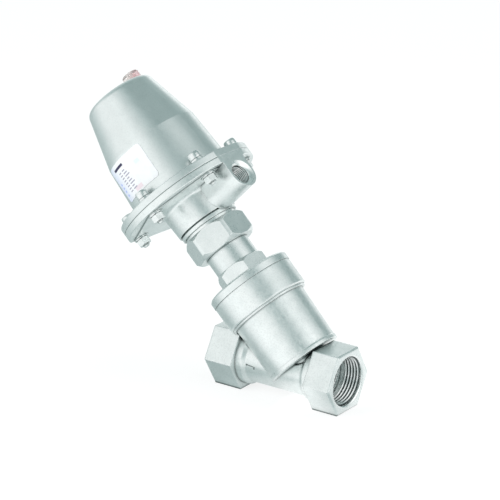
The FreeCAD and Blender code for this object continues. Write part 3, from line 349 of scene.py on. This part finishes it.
def turned_ring(name, start, inward, side, profile, material):
    """A ring of freshly turned metal round a bore; its profile is depth and radius in millimetres."""
    other = inward.cross(side)
    rings, points, faces = [], [], []
    for step in range(RING_STEPS):
        angle = math.tau * step / RING_STEPS
        out = side * math.cos(angle) + other * math.sin(angle)
        rings.append([start + (inward * depth + out * radius) * MM for depth, radius in profile])
    rings.append(rings[0])
    loft(rings, points, faces, capped=False)
    return piece(name, points, faces, material, "valve", crease=50)


MOUTH_RING = ((0.03, 17.60), (1.05, 16.58), (1.05, 16.70), (0.03, 17.72))
SHOULDER_DEPTH = 17.0
SHOULDER_RING = ((0.05, 12.55), (-0.10, 12.75), (-0.16, 13.1), (-0.16, 15.5), (-0.05, 16.2),
                 (0.05, 16.2))
turned_face = steel("turned_face", bright=(0.93, 0.955, 0.95), dull=(0.88, 0.91, 0.905),
                    gloss=(0.22, 0.32), rounding=0.0002, grain=0.00001, swell=0.00002,
                    lathe=(PIPE, 0.00025), pitting=0.03, seam_shade_reach=0.0004)
for end, face, inward in END_FACES:
    outer = PIPE * face * MM
    turned_ring(end + "_mouth", outer, inward, FRONT, MOUTH_RING, turned_face)
    turned_ring(end + "_shoulder", outer + inward * SHOULDER_DEPTH * MM, inward, FRONT, SHOULDER_RING,
                turned_face)

# Flow mark. A small line with a dot at one end and a block at the other, cast in relief on the pipe's
# front near the inlet, and darker than the pipe.

# Outlines are in millimetres along the pipe and degrees round it. The slope's rows are a share of the
# proud height and of the outline's size.
PIPE_RADIUS = 16.25
MARK_PROUD = 0.32
MARK_SLOPE = ((0.0, 1.18), (0.8, 1.0), (1.0, 0.82))
DOT_X, DOT_ANGLE = -68.6, 2.4
DOT_LONG, DOT_TALL = 0.55, 2.0
DOT_CORNERS = 14
MARK_LINE = ((-67.9, 1.6), (-63.4, 0.2), (-63.4, 1.6), (-67.9, 3.0))
MARK_BLOCK = ((-63.3, -4.6), (-62.2, -4.9), (-62.2, 1.2), (-63.3, 1.6))
MARK_DARK = (0.16, 0.19, 0.19, 1)
MARK_LIGHT = (0.42, 0.46, 0.455, 1)


def on_pipe(x, angle, radius):
    """A point on the pipe's round, seen from the front."""
    turn = math.radians(angle)
    return Vector((x, -radius * math.cos(turn), radius * math.sin(turn))) * MM


def mark_pad(outline, points, faces):
    """A low pad with sloping sides that follows the pipe's round."""
    middle_x = sum(x for x, angle in outline) / len(outline)
    middle_angle = sum(angle for x, angle in outline) / len(outline)
    rings = []
    for rise, share in MARK_SLOPE:
        radius = PIPE_RADIUS + MARK_PROUD * rise
        rings.append([on_pipe(middle_x + (x - middle_x) * share,
                              middle_angle + (angle - middle_angle) * share, radius)
                      for x, angle in outline])
    loft(rings, points, faces)


mark_dot = []
for corner in range(DOT_CORNERS):
    turn = math.tau * corner / DOT_CORNERS
    mark_dot.append((DOT_X + DOT_LONG * math.cos(turn), DOT_ANGLE + DOT_TALL * math.sin(turn)))
mark_points, mark_faces = [], []
for outline in (mark_dot, MARK_LINE, MARK_BLOCK):
    mark_pad(outline, mark_points, mark_faces)
worn_mark = Finish("worn_mark")
dirt = worn_mark.span(worn_mark.cloud(0.0012), 0.35, 0.65)
worn_mark.feed("Base Color", worn_mark.mix(dirt, MARK_DARK, MARK_LIGHT))
worn_mark.feed("Metallic", 1.0)
worn_mark.feed("Roughness", worn_mark.span(worn_mark.cloud(0.0009), 0.3, 0.7, 0.4, 0.6))
worn_mark.feed("Normal", worn_mark.bump(worn_mark.cloud(0.0005), 0.00004))
piece("flow_mark", mark_points, mark_faces, worn_mark.material, "valve")

# Bonnet. Turned from stainless bar: a disc that screws into the branch, a hexagon for the spanner, and a
# long neck with the packing inside. A thin white gasket seals it on the branch.

ALONG = Vector((-1, 0, 1)).normalized()
turned = steel("turned_bonnet", bright=(0.82, 0.86, 0.855), dull=(0.765, 0.81, 0.805),
               gloss=(0.26, 0.38), rounding=0.0004, grain=0.000012, swell=0.00004,
               lathe=(ALONG, 0.00022), pitting=0.04)
dress(turned, "bonnet")
GAP_SHADE_REACH = 0.003


def plain(name, colour, other, gloss, grain, size, metal=0.0, coat=0.0, shade_in_gap=0.12):
    """Plastic, rubber, cloth or a soft metal, with cloudy colour, painted shade in its gaps and a fine
    skin.
    """
    made = Finish(name)
    cloudy = made.mix(made.span(made.cloud(size * 6), 0.35, 0.65), (*other, 1), (*colour, 1))
    # Painted shade: the colour is darkened in gaps and tight corners, by how sheltered each point is.
    gap = made.span(made.shelter(GAP_SHADE_REACH), low=0.10, high=0.70, to_low=shade_in_gap)
    made.feed("Base Color", made.mix(1.0, cloudy, gap, "MULTIPLY"))
    made.feed("Roughness", made.span(made.cloud(size * 2), 0.3, 0.7, *gloss))
    made.feed("Normal", made.bump(made.cloud(size), grain))
    made.feed("Metallic", metal)
    made.feed("Coat Weight", coat)
    return made.material


white_seal = plain("white_seal_ring", colour=(0.86, 0.86, 0.83), other=(0.79, 0.79, 0.76),
                   gloss=(0.45, 0.6), grain=0.00002, size=0.0006)
dress(white_seal, "bonnet_gasket")

# Packing in the bonnet's neck. Four white chevron rings round the stem, pressed by dished springs under
# a washer, and held by a threaded gland. A plain bronze bush guides the stem below them.

bush_metal = plain("sintered_bush", colour=(0.62, 0.46, 0.26), other=(0.50, 0.36, 0.20),
                   gloss=(0.32, 0.5), grain=0.00002, size=0.0004, metal=1.0)
spring_metal = steel("spring_wire", bright=(0.56, 0.57, 0.58), dull=(0.44, 0.45, 0.46),
                     gloss=(0.30, 0.45), rounding=0.0002, grain=0.00001, swell=0.00001)
dress(bush_metal, "stem_bush")
dress(spring_metal, "packing_springs")
dress(turned, "packing_washer", "packing_gland")
dress(white_seal, "packing_rings")

# Stem and plug. A ground steel rod carries the plug on its lower end; a white seal sits under the plug,
# clamped by a plate and a nut.

ground = steel("ground_stem", bright=(0.84, 0.87, 0.865), dull=(0.80, 0.835, 0.83), gloss=(0.12, 0.22),
               rounding=0.0003, grain=0.000004, swell=0.00001, lathe=(ALONG, 0.00012))
nut_steel = steel("bright_nut_steel", bright=(0.85, 0.88, 0.875), dull=(0.77, 0.805, 0.80),
                  gloss=(0.22, 0.34), rounding=0.0003, grain=0.00001, swell=0.00003)
dress(ground, "stem")
dress(turned, "plug", "seal_plate")
dress(white_seal, "seat_seal")
dress(nut_steel, "plug_nut")

# Lock nut and its thin washer. A large stainless hexagon nut, milled from bar, holds the actuator's
# housing on the bonnet's neck. The washer lies between the nut and the housing.

milled = steel("milled_nut", bright=(0.81, 0.85, 0.843), dull=(0.76, 0.805, 0.80), gloss=(0.27, 0.38),
               rounding=0.0006, grain=0.000016, swell=0.00005, lathe=(ALONG, 0.0004), pitting=0.04)
dress(milled, "lock_nut")
washer_steel = steel("seal_washer_steel", bright=(0.88, 0.91, 0.905), dull=(0.82, 0.86, 0.853),
                     gloss=(0.22, 0.34), rounding=0.0003, grain=0.00001, swell=0.00003,
                     lathe=(ALONG, 0.0003), pitting=0.04, seam_shade_reach=0.0005)
dress(washer_steel, "seal_washer")

# Lower housing. A stainless casting: a cup with the air port's boss on one side and a broad flange above.
# A bush and rings in it guide and seal the stem. The air port is bored, countersunk and threaded.

ACROSS = Vector((1, 0, 1)).normalized()
cast_housing = steel("cast_housing", bright=(0.86, 0.90, 0.893), dull=(0.80, 0.845, 0.838),
                     gloss=(0.28, 0.42), rounding=0.0005, grain=0.00003, swell=0.00020, pitting=0.08)
dress(cast_housing, "lower_housing")
black_rubber = plain("black_rubber", colour=(0.045, 0.045, 0.048), other=(0.03, 0.03, 0.032),
                     gloss=(0.35, 0.55), grain=0.00001, size=0.0008)
dress(bush_metal, "housing_bush")
dress(black_rubber, "stem_ring", "flange_ring")
PORT_HEIGHT = 131.2
PORT_FACE = 48.6
PORT_THREAD_START = 46.2
PORT_RADIUS = 6.58
PORT_THREAD_DEPTH = 0.82
PORT_PITCH = 1.337
PORT_THREAD_LENGTH = 10.4
PORT_RING = ((0.04, 9.10), (2.56, 6.56), (2.56, 6.70), (0.04, 9.24))
port_start = CROSSING + ALONG * PORT_HEIGHT * MM
port_cut = cut_thread("port_thread_cut", ACROSS, port_start, root=0.00648, crest=0.00600, reach=0.0016)
port_mouth = port_start + ACROSS * PORT_FACE * MM
turned_ring("air_port_mouth", port_mouth, -ACROSS, ALONG, PORT_RING, turned_face)
port_mouth = port_start + ACROSS * PORT_THREAD_START * MM
thread_ridge("air_port_thread", port_mouth, -ACROSS, ALONG, PORT_RADIUS, PORT_THREAD_DEPTH, PORT_PITCH,
             PORT_THREAD_LENGTH, port_cut)

# Piston. A turned steel disc on the stem's upper end, held by a washer and a nut. A cloth guide tape and
# a rubber lip seal lie in its grooves.

guide_tape = plain("guide_tape_cloth", colour=(0.32, 0.34, 0.30), other=(0.24, 0.26, 0.23),
                   gloss=(0.5, 0.7), grain=0.00003, size=0.0005)
dress(turned, "piston")
dress(guide_tape, "piston_guide")
dress(black_rubber, "piston_seal", "piston_ring")
dress(nut_steel, "piston_washer", "piston_nut")

# Closing springs. Two coils of round steel wire, one inside the other, wound with closed ends that are
# ground flat. They stand on the piston and push against a plate under the cover.

SPRING_FOOT = 158.0
SPRING_TOP = 224.5
CLOSED_TURNS = 1.0
TURN_STEPS = 40
WIRE_SIDES = 14


def coil(name, node, radius, wire, turns, start):
    """A compression spring whose end turns lie flat."""
    grip = wire / 2
    low = SPRING_FOOT + grip
    high = SPRING_TOP - grip
    pitch = (high - low - 2 * CLOSED_TURNS * wire) / (turns - 2 * CLOSED_TURNS)
    rings = []
    for step in range(int(turns * TURN_STEPS) + 1):
        turn = step / TURN_STEPS
        if turn < CLOSED_TURNS:
            height = low + turn * wire
        elif turn > turns - CLOSED_TURNS:
            height = high - (turns - turn) * wire
        else:
            height = low + CLOSED_TURNS * wire + (turn - CLOSED_TURNS) * pitch
        angle = start + turn * math.tau
        out = ACROSS * math.cos(angle) + FRONT * math.sin(angle)
        ring = []
        for side in range(WIRE_SIDES):
            tilt = math.tau * side / WIRE_SIDES
            rise = min(max(height + grip * math.sin(tilt), SPRING_FOOT), SPRING_TOP)
            ring.append(CROSSING + (ALONG * rise + out * (radius + grip * math.cos(tilt))) * MM)
        rings.append(ring)
    points, faces = [], []
    loft(rings, points, faces)
    made = piece(name, points, faces, spring_metal, "valve", crease=60)
    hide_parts(node)
    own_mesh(made)


coil("outer_closing_spring", "outer_spring", radius=18.6, wire=3.0, turns=6.5, start=0.4)
coil("inner_closing_spring", "inner_spring", radius=9.5, wire=2.4, turns=8.0, start=2.1)
dress(spring_metal, "outer_spring", "inner_spring")
dress(turned, "spring_plate")

# Cover. A tapered stainless cup with its own flange, blasted to a smooth satin, that shuts the spring
# chamber. It bends in a soft line to a steeper taper, and its top edge is rounded.

satin_cover = steel("satin_cover", bright=(0.80, 0.845, 0.84), dull=(0.765, 0.81, 0.805),
                    gloss=(0.29, 0.39), rounding=0.0006, grain=0.000012, swell=0.00012, pitting=0.05)
dress(satin_cover, "upper_housing")

# Label. A thin white plastic film with rounded corners, bonded to the cover's side. It is printed with a
# pale blue field, a black bar, a small pale green block and rows of plain grey and blue rules. A small
# pale pink block on it is a painted reflection of the screw head beside it.

LABEL_LOW = 160.8
LABEL_HIGH = 187.2
LABEL_RIGHT = 62.3
LABEL_LEFT = 121.0
LABEL_LEAN = 6.5
LABEL_ROUND = 2.4
LABEL_PROUD = 0.06
LABEL_FILM = 0.12
LABEL_ROWS = 40
LABEL_COLUMNS = 48
COVER_BASE = 152.0
COVER_FOOT = 36.4
COVER_BEND = 34.1
BEND_AT = 189.0


def cover_radius(height):
    """The cover's radius at a height below its bend."""
    return COVER_FOOT + (COVER_BEND - COVER_FOOT) * (height - COVER_BASE) / (BEND_AT - COVER_BASE)


def on_cover(height, angle, proud):
    """A point on the cover's side, or proud of it."""
    turn = math.radians(angle)
    out = ACROSS * math.cos(turn) + FRONT * math.sin(turn)
    return CROSSING + (ALONG * height + out * (cover_radius(height) + proud)) * MM


label_points, label_faces, label_marks = [], [], []
for row in range(LABEL_ROWS + 1):
    share = 0.5 - 0.5 * math.cos(math.pi * row / LABEL_ROWS)
    height = LABEL_LOW + (LABEL_HIGH - LABEL_LOW) * share
    near = min(height - LABEL_LOW, LABEL_HIGH - height, LABEL_ROUND)
    inset = LABEL_ROUND - math.sqrt(max(LABEL_ROUND ** 2 - (LABEL_ROUND - near) ** 2, 0))
    inset = math.degrees(inset / cover_radius(height))
    left_edge = LABEL_LEFT + LABEL_LEAN * share
    for column in range(LABEL_COLUMNS + 1):
        angle = left_edge - inset + (LABEL_RIGHT + 2 * inset - left_edge) * column / LABEL_COLUMNS
        label_points.append(on_cover(height, angle, LABEL_PROUD))
        label_marks.append(((left_edge - angle) / (left_edge - LABEL_RIGHT), share))
for row in range(LABEL_ROWS):
    for column in range(LABEL_COLUMNS):
        corner = row * (LABEL_COLUMNS + 1) + column
        above = corner + LABEL_COLUMNS + 1
        label_faces.append((corner, corner + 1, above + 1, above))

film = Finish("label_film")
film_map = film.nodes.new("ShaderNodeUVMap")
film_map.uv_map = "label"
film_split = film.nodes.new("ShaderNodeSeparateXYZ")
film.put(film_map.outputs["UV"], film_split.inputs[0])
rightward = film_split.outputs["X"]
upward = film_split.outputs["Y"]
FIELD_SOFT = 0.006


def between(value, low, high):
    """1 between two bounds and 0 outside them, with soft borders."""
    return film.maths("MULTIPLY", film.span(value, low - FIELD_SOFT, low + FIELD_SOFT),
                      film.span(value, high + FIELD_SOFT, high - FIELD_SOFT))


PAPER_DULL = (0.85, 0.86, 0.885, 1)
PAPER_BRIGHT = (0.90, 0.905, 0.915, 1)
PALE_BLUE = (0.70, 0.75, 0.88, 1)
BLACK_INK = (0.02, 0.015, 0.07)
GREEN_INK = (0.76, 0.89, 0.84)
PINK_PAINTED_REFLECTION = (0.84, 0.72, 0.77)
GREY_INK = (0.34, 0.33, 0.42)
BLUE_INK = (0.42, 0.50, 0.86)
GREY_ROWS = 8
GREY_TOP = 0.70
GREY_STEP = 0.078
GREY_TALL = 0.030
BLUE_LOWS = (0.47, 0.36, 0.26, 0.14)
BLUE_TALL = 0.06
paper = film.mix(film.span(film.cloud(0.008), 0.35, 0.7), PAPER_DULL, PAPER_BRIGHT)
paper = film.mix(film.span(rightward, low=0.34, high=0.06), paper, PALE_BLUE)
# Each field, printed or painted: its left and right, its low and high, both as shares of the label, and
# its ink or paint.
label_fields = [((0.19, 0.50), (0.825, 0.895), BLACK_INK),
           ((0.74, 0.84), (0.60, 0.70), GREEN_INK),
           # The pink block is no print but a painted reflection, where a screw head beside the label
           # shows pink.
           ((0.42, 0.62), (0.05, 0.16), PINK_PAINTED_REFLECTION)]
for row in range(GREY_ROWS):
    low = GREY_TOP - GREY_STEP * row
    label_fields.append(((0.27, 0.35), (low, low + GREY_TALL), GREY_INK))
    label_fields.append(((0.39, 0.47 + 0.03 * (row % 3)), (low, low + GREY_TALL), GREY_INK))
for low in BLUE_LOWS:
    label_fields.append(((0.09, 0.15), (low, low + BLUE_TALL), BLUE_INK))
for (left, right), (low, high), ink in label_fields:
    inside = film.maths("MULTIPLY", between(rightward, left, right), between(upward, low, high))
    paper = film.mix(inside, paper, (*ink, 1))
film.feed("Base Color", paper)
film.feed("Roughness", film.span(film.cloud(0.003), 0.3, 0.7, 0.28, 0.42))
film.feed("Normal", film.bump(film.cloud(0.004), 0.00003))
label = piece("side_label", label_points, label_faces, film.material, "valve")
label_map = label.data.uv_layers.new(name="label")
for loop in label.data.loops:
    label_map.data[loop.index].uv = label_marks[loop.vertex_index]
thick = label.modifiers.new("film", "SOLIDIFY")
thick.thickness = LABEL_FILM * MM
thick.offset = -1.0 if label.data.polygons[0].normal.dot(FRONT) < 0 else 1.0

# Flange screws. Six stainless socket-head screws with knurled heads hold the two flanges together, each
# with a spring washer and a flat washer under the head, and a flat washer and a nut below the flanges.

SCREW_CIRCLE = 42.4
SCREW_TURN = 25.8
SCREW_TWISTS = (0.2, 1.3, 0.7, 2.1, 2.9, 0.9)
SCREW_SIDES = 96
SHANK = 2.5
TAIL = 134.1
SCREW_PITCH = 0.8
TAIL_TAPER = 0.7
SCREW_THREAD_DEPTH = 0.42
SCREW_THREAD_LOW = 0.35
SCREW_THREAD_STEP = 0.1
SCREW_THREAD_RINGS = 56
SCREW_THREAD_HIGH = 6.1
HEAD_LOW = 154.1
HEAD_TALL = 5.0
HEAD_RADIUS = 4.25
KNURLS = 32
KNURL_DEPTH = 0.05
KNURLED_BAND = (0.45, 1.6, 2.8, 4.05)
KEY_FLATS = 4.0
KEY_DEPTH = 2.5
KEY_MOUTH = 2.75
KEY_BEVEL = 0.25
# Rows of the head's foot: height over it and inward from the head's side. Rows of its crown: the same,
# with the height under its top. Rows of the drill's end: depth below the key's flats, and radius.
HEAD_FOOT = ((0.0, 0.4), (0.25, 0.14))
HEAD_CROWN = ((0.75, 0.14), (0.35, 0.22), (0.1, 0.42), (0.0, 0.75))
DRILL_END = ((0.1, 1.5), (0.5, 0.3))


def screw_outline():
    """One screw's rings, from its tail up round the head and into the socket: height and radius rule."""
    def round_ring(radius):
        return lambda angle, height: radius

    def threaded(angle, height):
        wave = abs((height / SCREW_PITCH - angle / math.tau) % 1 - 0.5) * 2
        return SHANK - SCREW_THREAD_DEPTH * wave

    def knurled(angle, height):
        flute = abs((angle / math.tau * KNURLS) % 1 - 0.5) * 2
        return HEAD_RADIUS - KNURL_DEPTH * (1 - flute)

    def hexagon(angle, height):
        return KEY_FLATS / 2 / math.cos((angle + math.pi / 6) % (math.pi / 3) - math.pi / 6)

    top = HEAD_LOW + HEAD_TALL
    key = top - KEY_DEPTH
    rings = [(TAIL, round_ring(SHANK - TAIL_TAPER))]
    rings += [(TAIL + SCREW_THREAD_LOW + SCREW_THREAD_STEP * step, threaded)
              for step in range(SCREW_THREAD_RINGS)]
    rings += [(TAIL + SCREW_THREAD_HIGH, round_ring(SHANK)), (HEAD_LOW, round_ring(SHANK))]
    rings += [(HEAD_LOW + rise, round_ring(HEAD_RADIUS - inset)) for rise, inset in HEAD_FOOT]
    rings += [(HEAD_LOW + rise, knurled) for rise in KNURLED_BAND]
    rings += [(top - drop, round_ring(HEAD_RADIUS - inset)) for drop, inset in HEAD_CROWN]
    rings += [(top, round_ring(KEY_MOUTH)), (top - KEY_BEVEL, hexagon), (key, hexagon)]
    rings += [(key - drop, round_ring(radius)) for drop, radius in DRILL_END]
    return rings


screw_points, screw_faces = [], []
for number, twist in enumerate(SCREW_TWISTS):
    around = math.radians(SCREW_TURN + 360 / len(SCREW_TWISTS) * number)
    centre = CROSSING + (ACROSS * math.cos(around) + FRONT * math.sin(around)) * SCREW_CIRCLE * MM
    rings = []
    for height, rule in screw_outline():
        ring = []
        for side in range(SCREW_SIDES):
            angle = math.tau * side / SCREW_SIDES
            out = ACROSS * math.cos(angle + twist) + FRONT * math.sin(angle + twist)
            ring.append(centre + (ALONG * height + out * rule(angle, height)) * MM)
        rings.append(ring)
    loft(rings, screw_points, screw_faces)

screw_steel = steel("screw_steel", bright=(0.84, 0.87, 0.865), dull=(0.75, 0.79, 0.785),
                    gloss=(0.20, 0.34), rounding=0.00025, grain=0.000008, swell=0.00002, pitting=0.03,
                    seam_shade_reach=0.0009)
screws = piece("socket_screws", screw_points, screw_faces, screw_steel, "valve",
               crease=35)
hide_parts("flange_screws")
dress(screw_steel, "flange_screws", "flat_washers", "spring_washers", "flange_nuts")

# Indicator. A red plastic pin on the piston rises in a small clear cap on the cover's top, which screws
# down on a rubber ring and shows whether the valve is open. The cap is rosy on its right side, and pale
# on its left side as a painted highlight.

CAP_RIGHT = (0.81, 0.59, 0.0)
CAP_HALF = 0.0045
CAP_PAINTED_HIGHLIGHT = (0.98, 0.94, 0.92, 1)
CAP_ROSY = (0.84, 0.58, 0.60, 1)
cap_low, cap_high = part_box("indicator_cap")
cap_middle = (Vector(cap_low) + Vector(cap_high)) / 2
clear = Finish("clear_cap_plastic")
cap_offset = clear.vector("SUBTRACT", clear.place(), tuple(cap_middle))
cap_side = clear.vector("DOT_PRODUCT", cap_offset, CAP_RIGHT, out="Value")
# Painted highlight: the cap is pale on its left side and rosy on its right.
rosy = clear.span(cap_side, -CAP_HALF, CAP_HALF)
clear.feed("Base Color", clear.mix(rosy, CAP_PAINTED_HIGHLIGHT, CAP_ROSY))
clear.feed("Transmission Weight", 0.74)
clear.feed("IOR", 1.20)
clear.feed("Roughness", clear.span(clear.cloud(0.002), 0.3, 0.7, 0.16, 0.24))
clear.feed("Normal", clear.bump(clear.cloud(0.003, detail=1.0), 0.000003))
dress(clear.material, "indicator_cap")
dress(black_rubber, "cap_ring")
red = plain("red_pin_plastic", colour=(0.74, 0.05, 0.07), other=(0.64, 0.035, 0.05), gloss=(0.25, 0.38),
            grain=0.00001, size=0.0006, coat=0.3, shade_in_gap=0.85)
dress(red, "indicator_pin")

# Studio floor. A plain pale sheet under the pipe, which the camera sees as white with a soft shadow. The
# metal sees it as grey, and glowing brighter towards a few bearings: painted light that stands in for
# paper near a studio's lamps.

FLOOR_HEIGHT = -0.0205
FLOOR_REACH = 6.0
FLOOR_CENTRE = (-0.04, -0.05, FLOOR_HEIGHT)
FLOOR_SHARE = 0.80
FLOOR_LEVEL = 0.33
FLOOR_GREY = (0.24, 0.245, 0.245, 1)
FLOOR_DIM = (0.80, 1.0, 0.99, 1)
FLOOR_BRIGHT = (0.99, 1.0, 1.0, 1)
# Each patch: its bearing in degrees, the cosines where it starts and where it is full, and its power.
FLOOR_GLOW_PATCHES = (
    (260, 0.30, 0.90, 0.29),
    (240, 0.30, 0.90, 0.26),
    (90, 0.45, 0.95, 0.28),
    (72, 0.75, 1.0, 0.30),
    (340, 0.70, 0.98, 0.55),
)
WHITE = (1, 1, 1, 1)
floor_corners = [(x * FLOOR_REACH, y * FLOOR_REACH, FLOOR_HEIGHT)
                 for x, y in ((-1, -1), (1, -1), (1, 1), (-1, 1))]
floor_mesh = bpy.data.meshes.new("studio_floor")
floor_mesh.from_pydata(floor_corners, [], [(0, 1, 2, 3)])
floor = bpy.data.objects.new("studio_floor", floor_mesh)
bpy.context.scene.collection.objects.link(floor)
floor_paper = Finish("studio_floor_paper")


def seen_directly(steps):
    """1 for what the camera sees, straight or through the clear cap, and 0 for all other light."""
    paths = steps.nodes.new("ShaderNodeLightPath")
    return steps.maths("MAXIMUM", paths.outputs["Is Camera Ray"], paths.outputs["Is Transmission Ray"])


seen = seen_directly(floor_paper)
aim = floor_paper.vector("NORMALIZE", floor_paper.vector("SUBTRACT", floor_paper.place(), FLOOR_CENTRE))
level = FLOOR_LEVEL
# Painted light: the floor glows brighter towards each patch's bearing.
for bearing, outer, inner, power in FLOOR_GLOW_PATCHES:
    towards = (math.cos(math.radians(bearing)), math.sin(math.radians(bearing)), 0.0)
    facing = floor_paper.vector("DOT_PRODUCT", aim, towards, out="Value")
    level = floor_paper.maths("ADD", level, floor_paper.span(facing, outer, inner, to_high=power))
floor_paper.feed("Base Color", FLOOR_GREY)
floor_paper.feed("Roughness", 0.9)
floor_paper.feed("Specular IOR Level", 0.0)
paper_tint = floor_paper.mix(floor_paper.span(level, 0.25, 0.75), FLOOR_DIM, FLOOR_BRIGHT)
floor_paper.feed("Emission Color", floor_paper.mix(seen, paper_tint, WHITE))
seen_share = floor_paper.maths("MULTIPLY", seen, FLOOR_SHARE)
floor_paper.feed("Emission Strength", floor_paper.maths("MAXIMUM", level, seen_share))
floor_mesh.materials.append(floor_paper.material)

# Backdrop. White all round for the camera. The metal sees a grey studio with large soft boxes hung in
# it, which give its rounds their bright and dark bands.

STUDIO_GLOW = 0.41
STUDIO_MOST = 1.35
STUDIO_DIM = (0.77, 1.0, 0.99, 1)
STUDIO_BRIGHT = (0.985, 1.0, 0.997, 1)
# Each soft box: its direction, the cosines where it starts and where it is full, and its power.
SOFTBOXES = (
    ((-0.414, -0.898, -0.150), 0.35, 0.95, 0.69),
    ((0.855, 0.202, 0.477), 0.70, 0.98, 0.75),
    ((-0.611, 0.787, -0.086), 0.84, 1.0, 0.54),
    ((-0.077, -0.677, 0.732), 0.84, 1.0, 0.40),
    ((0.908, -0.108, 0.405), 0.84, 1.0, 0.60),
    ((-0.896, 0.407, 0.177), 0.35, 0.95, 0.31),
    ((0.385, -0.904, 0.186), 0.84, 1.0, 0.18),
    ((-0.26, 0.963, 0.0), 0.93, 0.995, 0.75),
)
world = bpy.data.worlds.new("studio")
bpy.context.scene.world = world
world.use_nodes = True
sky = Steps(world.node_tree)
heading = sky.nodes.new("ShaderNodeTexCoord").outputs["Generated"]
glow = STUDIO_GLOW
for towards, outer, inner, power in SOFTBOXES:
    facing = sky.vector("DOT_PRODUCT", heading, tuple(Vector(towards).normalized()), out="Value")
    glow = sky.maths("ADD", glow, sky.span(facing, outer, inner, to_high=power))
glow = sky.maths("MINIMUM", glow, STUDIO_MOST)
tint = sky.mix(sky.span(glow, 0.35, 1.05), STUDIO_DIM, STUDIO_BRIGHT)
sky_seen = seen_directly(sky)
background = sky.nodes.new("ShaderNodeBackground")
sky.put(sky.mix(sky_seen, tint, WHITE), background.inputs["Color"])
up_to_white = sky.maths("SUBTRACT", 1.0, glow)
sky.put(sky.maths("MULTIPLY_ADD", sky_seen, up_to_white, glow), background.inputs["Strength"])
world_out = sky.nodes.new("ShaderNodeOutputWorld")
sky.links.new(background.outputs[0], world_out.inputs["Surface"])

# Lamps. Two large square soft lamps, one from the left front and one from above, light the coloured
# pieces and throw the floor's soft shadow. Neither is seen in gloss or through the clear cap.


def lamp(name, place, target, size, power):
    """A square soft lamp at a place, turned to its target."""
    light = bpy.data.lights.new(name, "AREA")
    light.shape = "SQUARE"
    light.size = size
    light.energy = power
    made = bpy.data.objects.new(name, light)
    made.location = place
    made.rotation_euler = (Vector(target) - Vector(place)).to_track_quat("-Z", "Y").to_euler()
    made.visible_glossy = False
    made.visible_transmission = False
    bpy.context.scene.collection.objects.link(made)


lamp("left_front_lamp", (-0.75, -1.05, 0.85), target=(-0.08, 0, 0.07), size=0.8, power=6.8)
lamp("top_lamp", (0.15, 0.25, 1.3), target=(-0.08, 0, 0.05), size=0.9, power=5.0)

# Camera. It stands at the photograph's angle: 36 degrees round from the front towards the outlet and 19
# degrees up, far off with a long lens.

SENSOR = 36.0
LENS = 160.7
NEAREST = 0.05
CAMERA_PLACE = (0.73488, -1.1206, 0.5591)
CAMERA_RIGHT = Vector((0.8096, 0.5870, 0.0))
CAMERA_UP = Vector((-0.1940, 0.2676, 0.9439))
CAMERA_BACK = Vector((0.5541, -0.7641, 0.3305))
camera_data = bpy.data.cameras.new("camera")
camera_data.sensor_width = SENSOR
camera_data.lens = LENS
camera_data.clip_start = NEAREST
camera = bpy.data.objects.new("camera", camera_data)
camera_turn = Matrix((CAMERA_RIGHT, CAMERA_UP, CAMERA_BACK)).transposed().to_4x4()
camera.matrix_world = Matrix.Translation(CAMERA_PLACE) @ camera_turn
bpy.context.scene.collection.objects.link(camera)
bpy.context.scene.camera = camera
bpy.context.scene.view_settings.view_transform = "Standard"

bpy.context.view_layer.update()
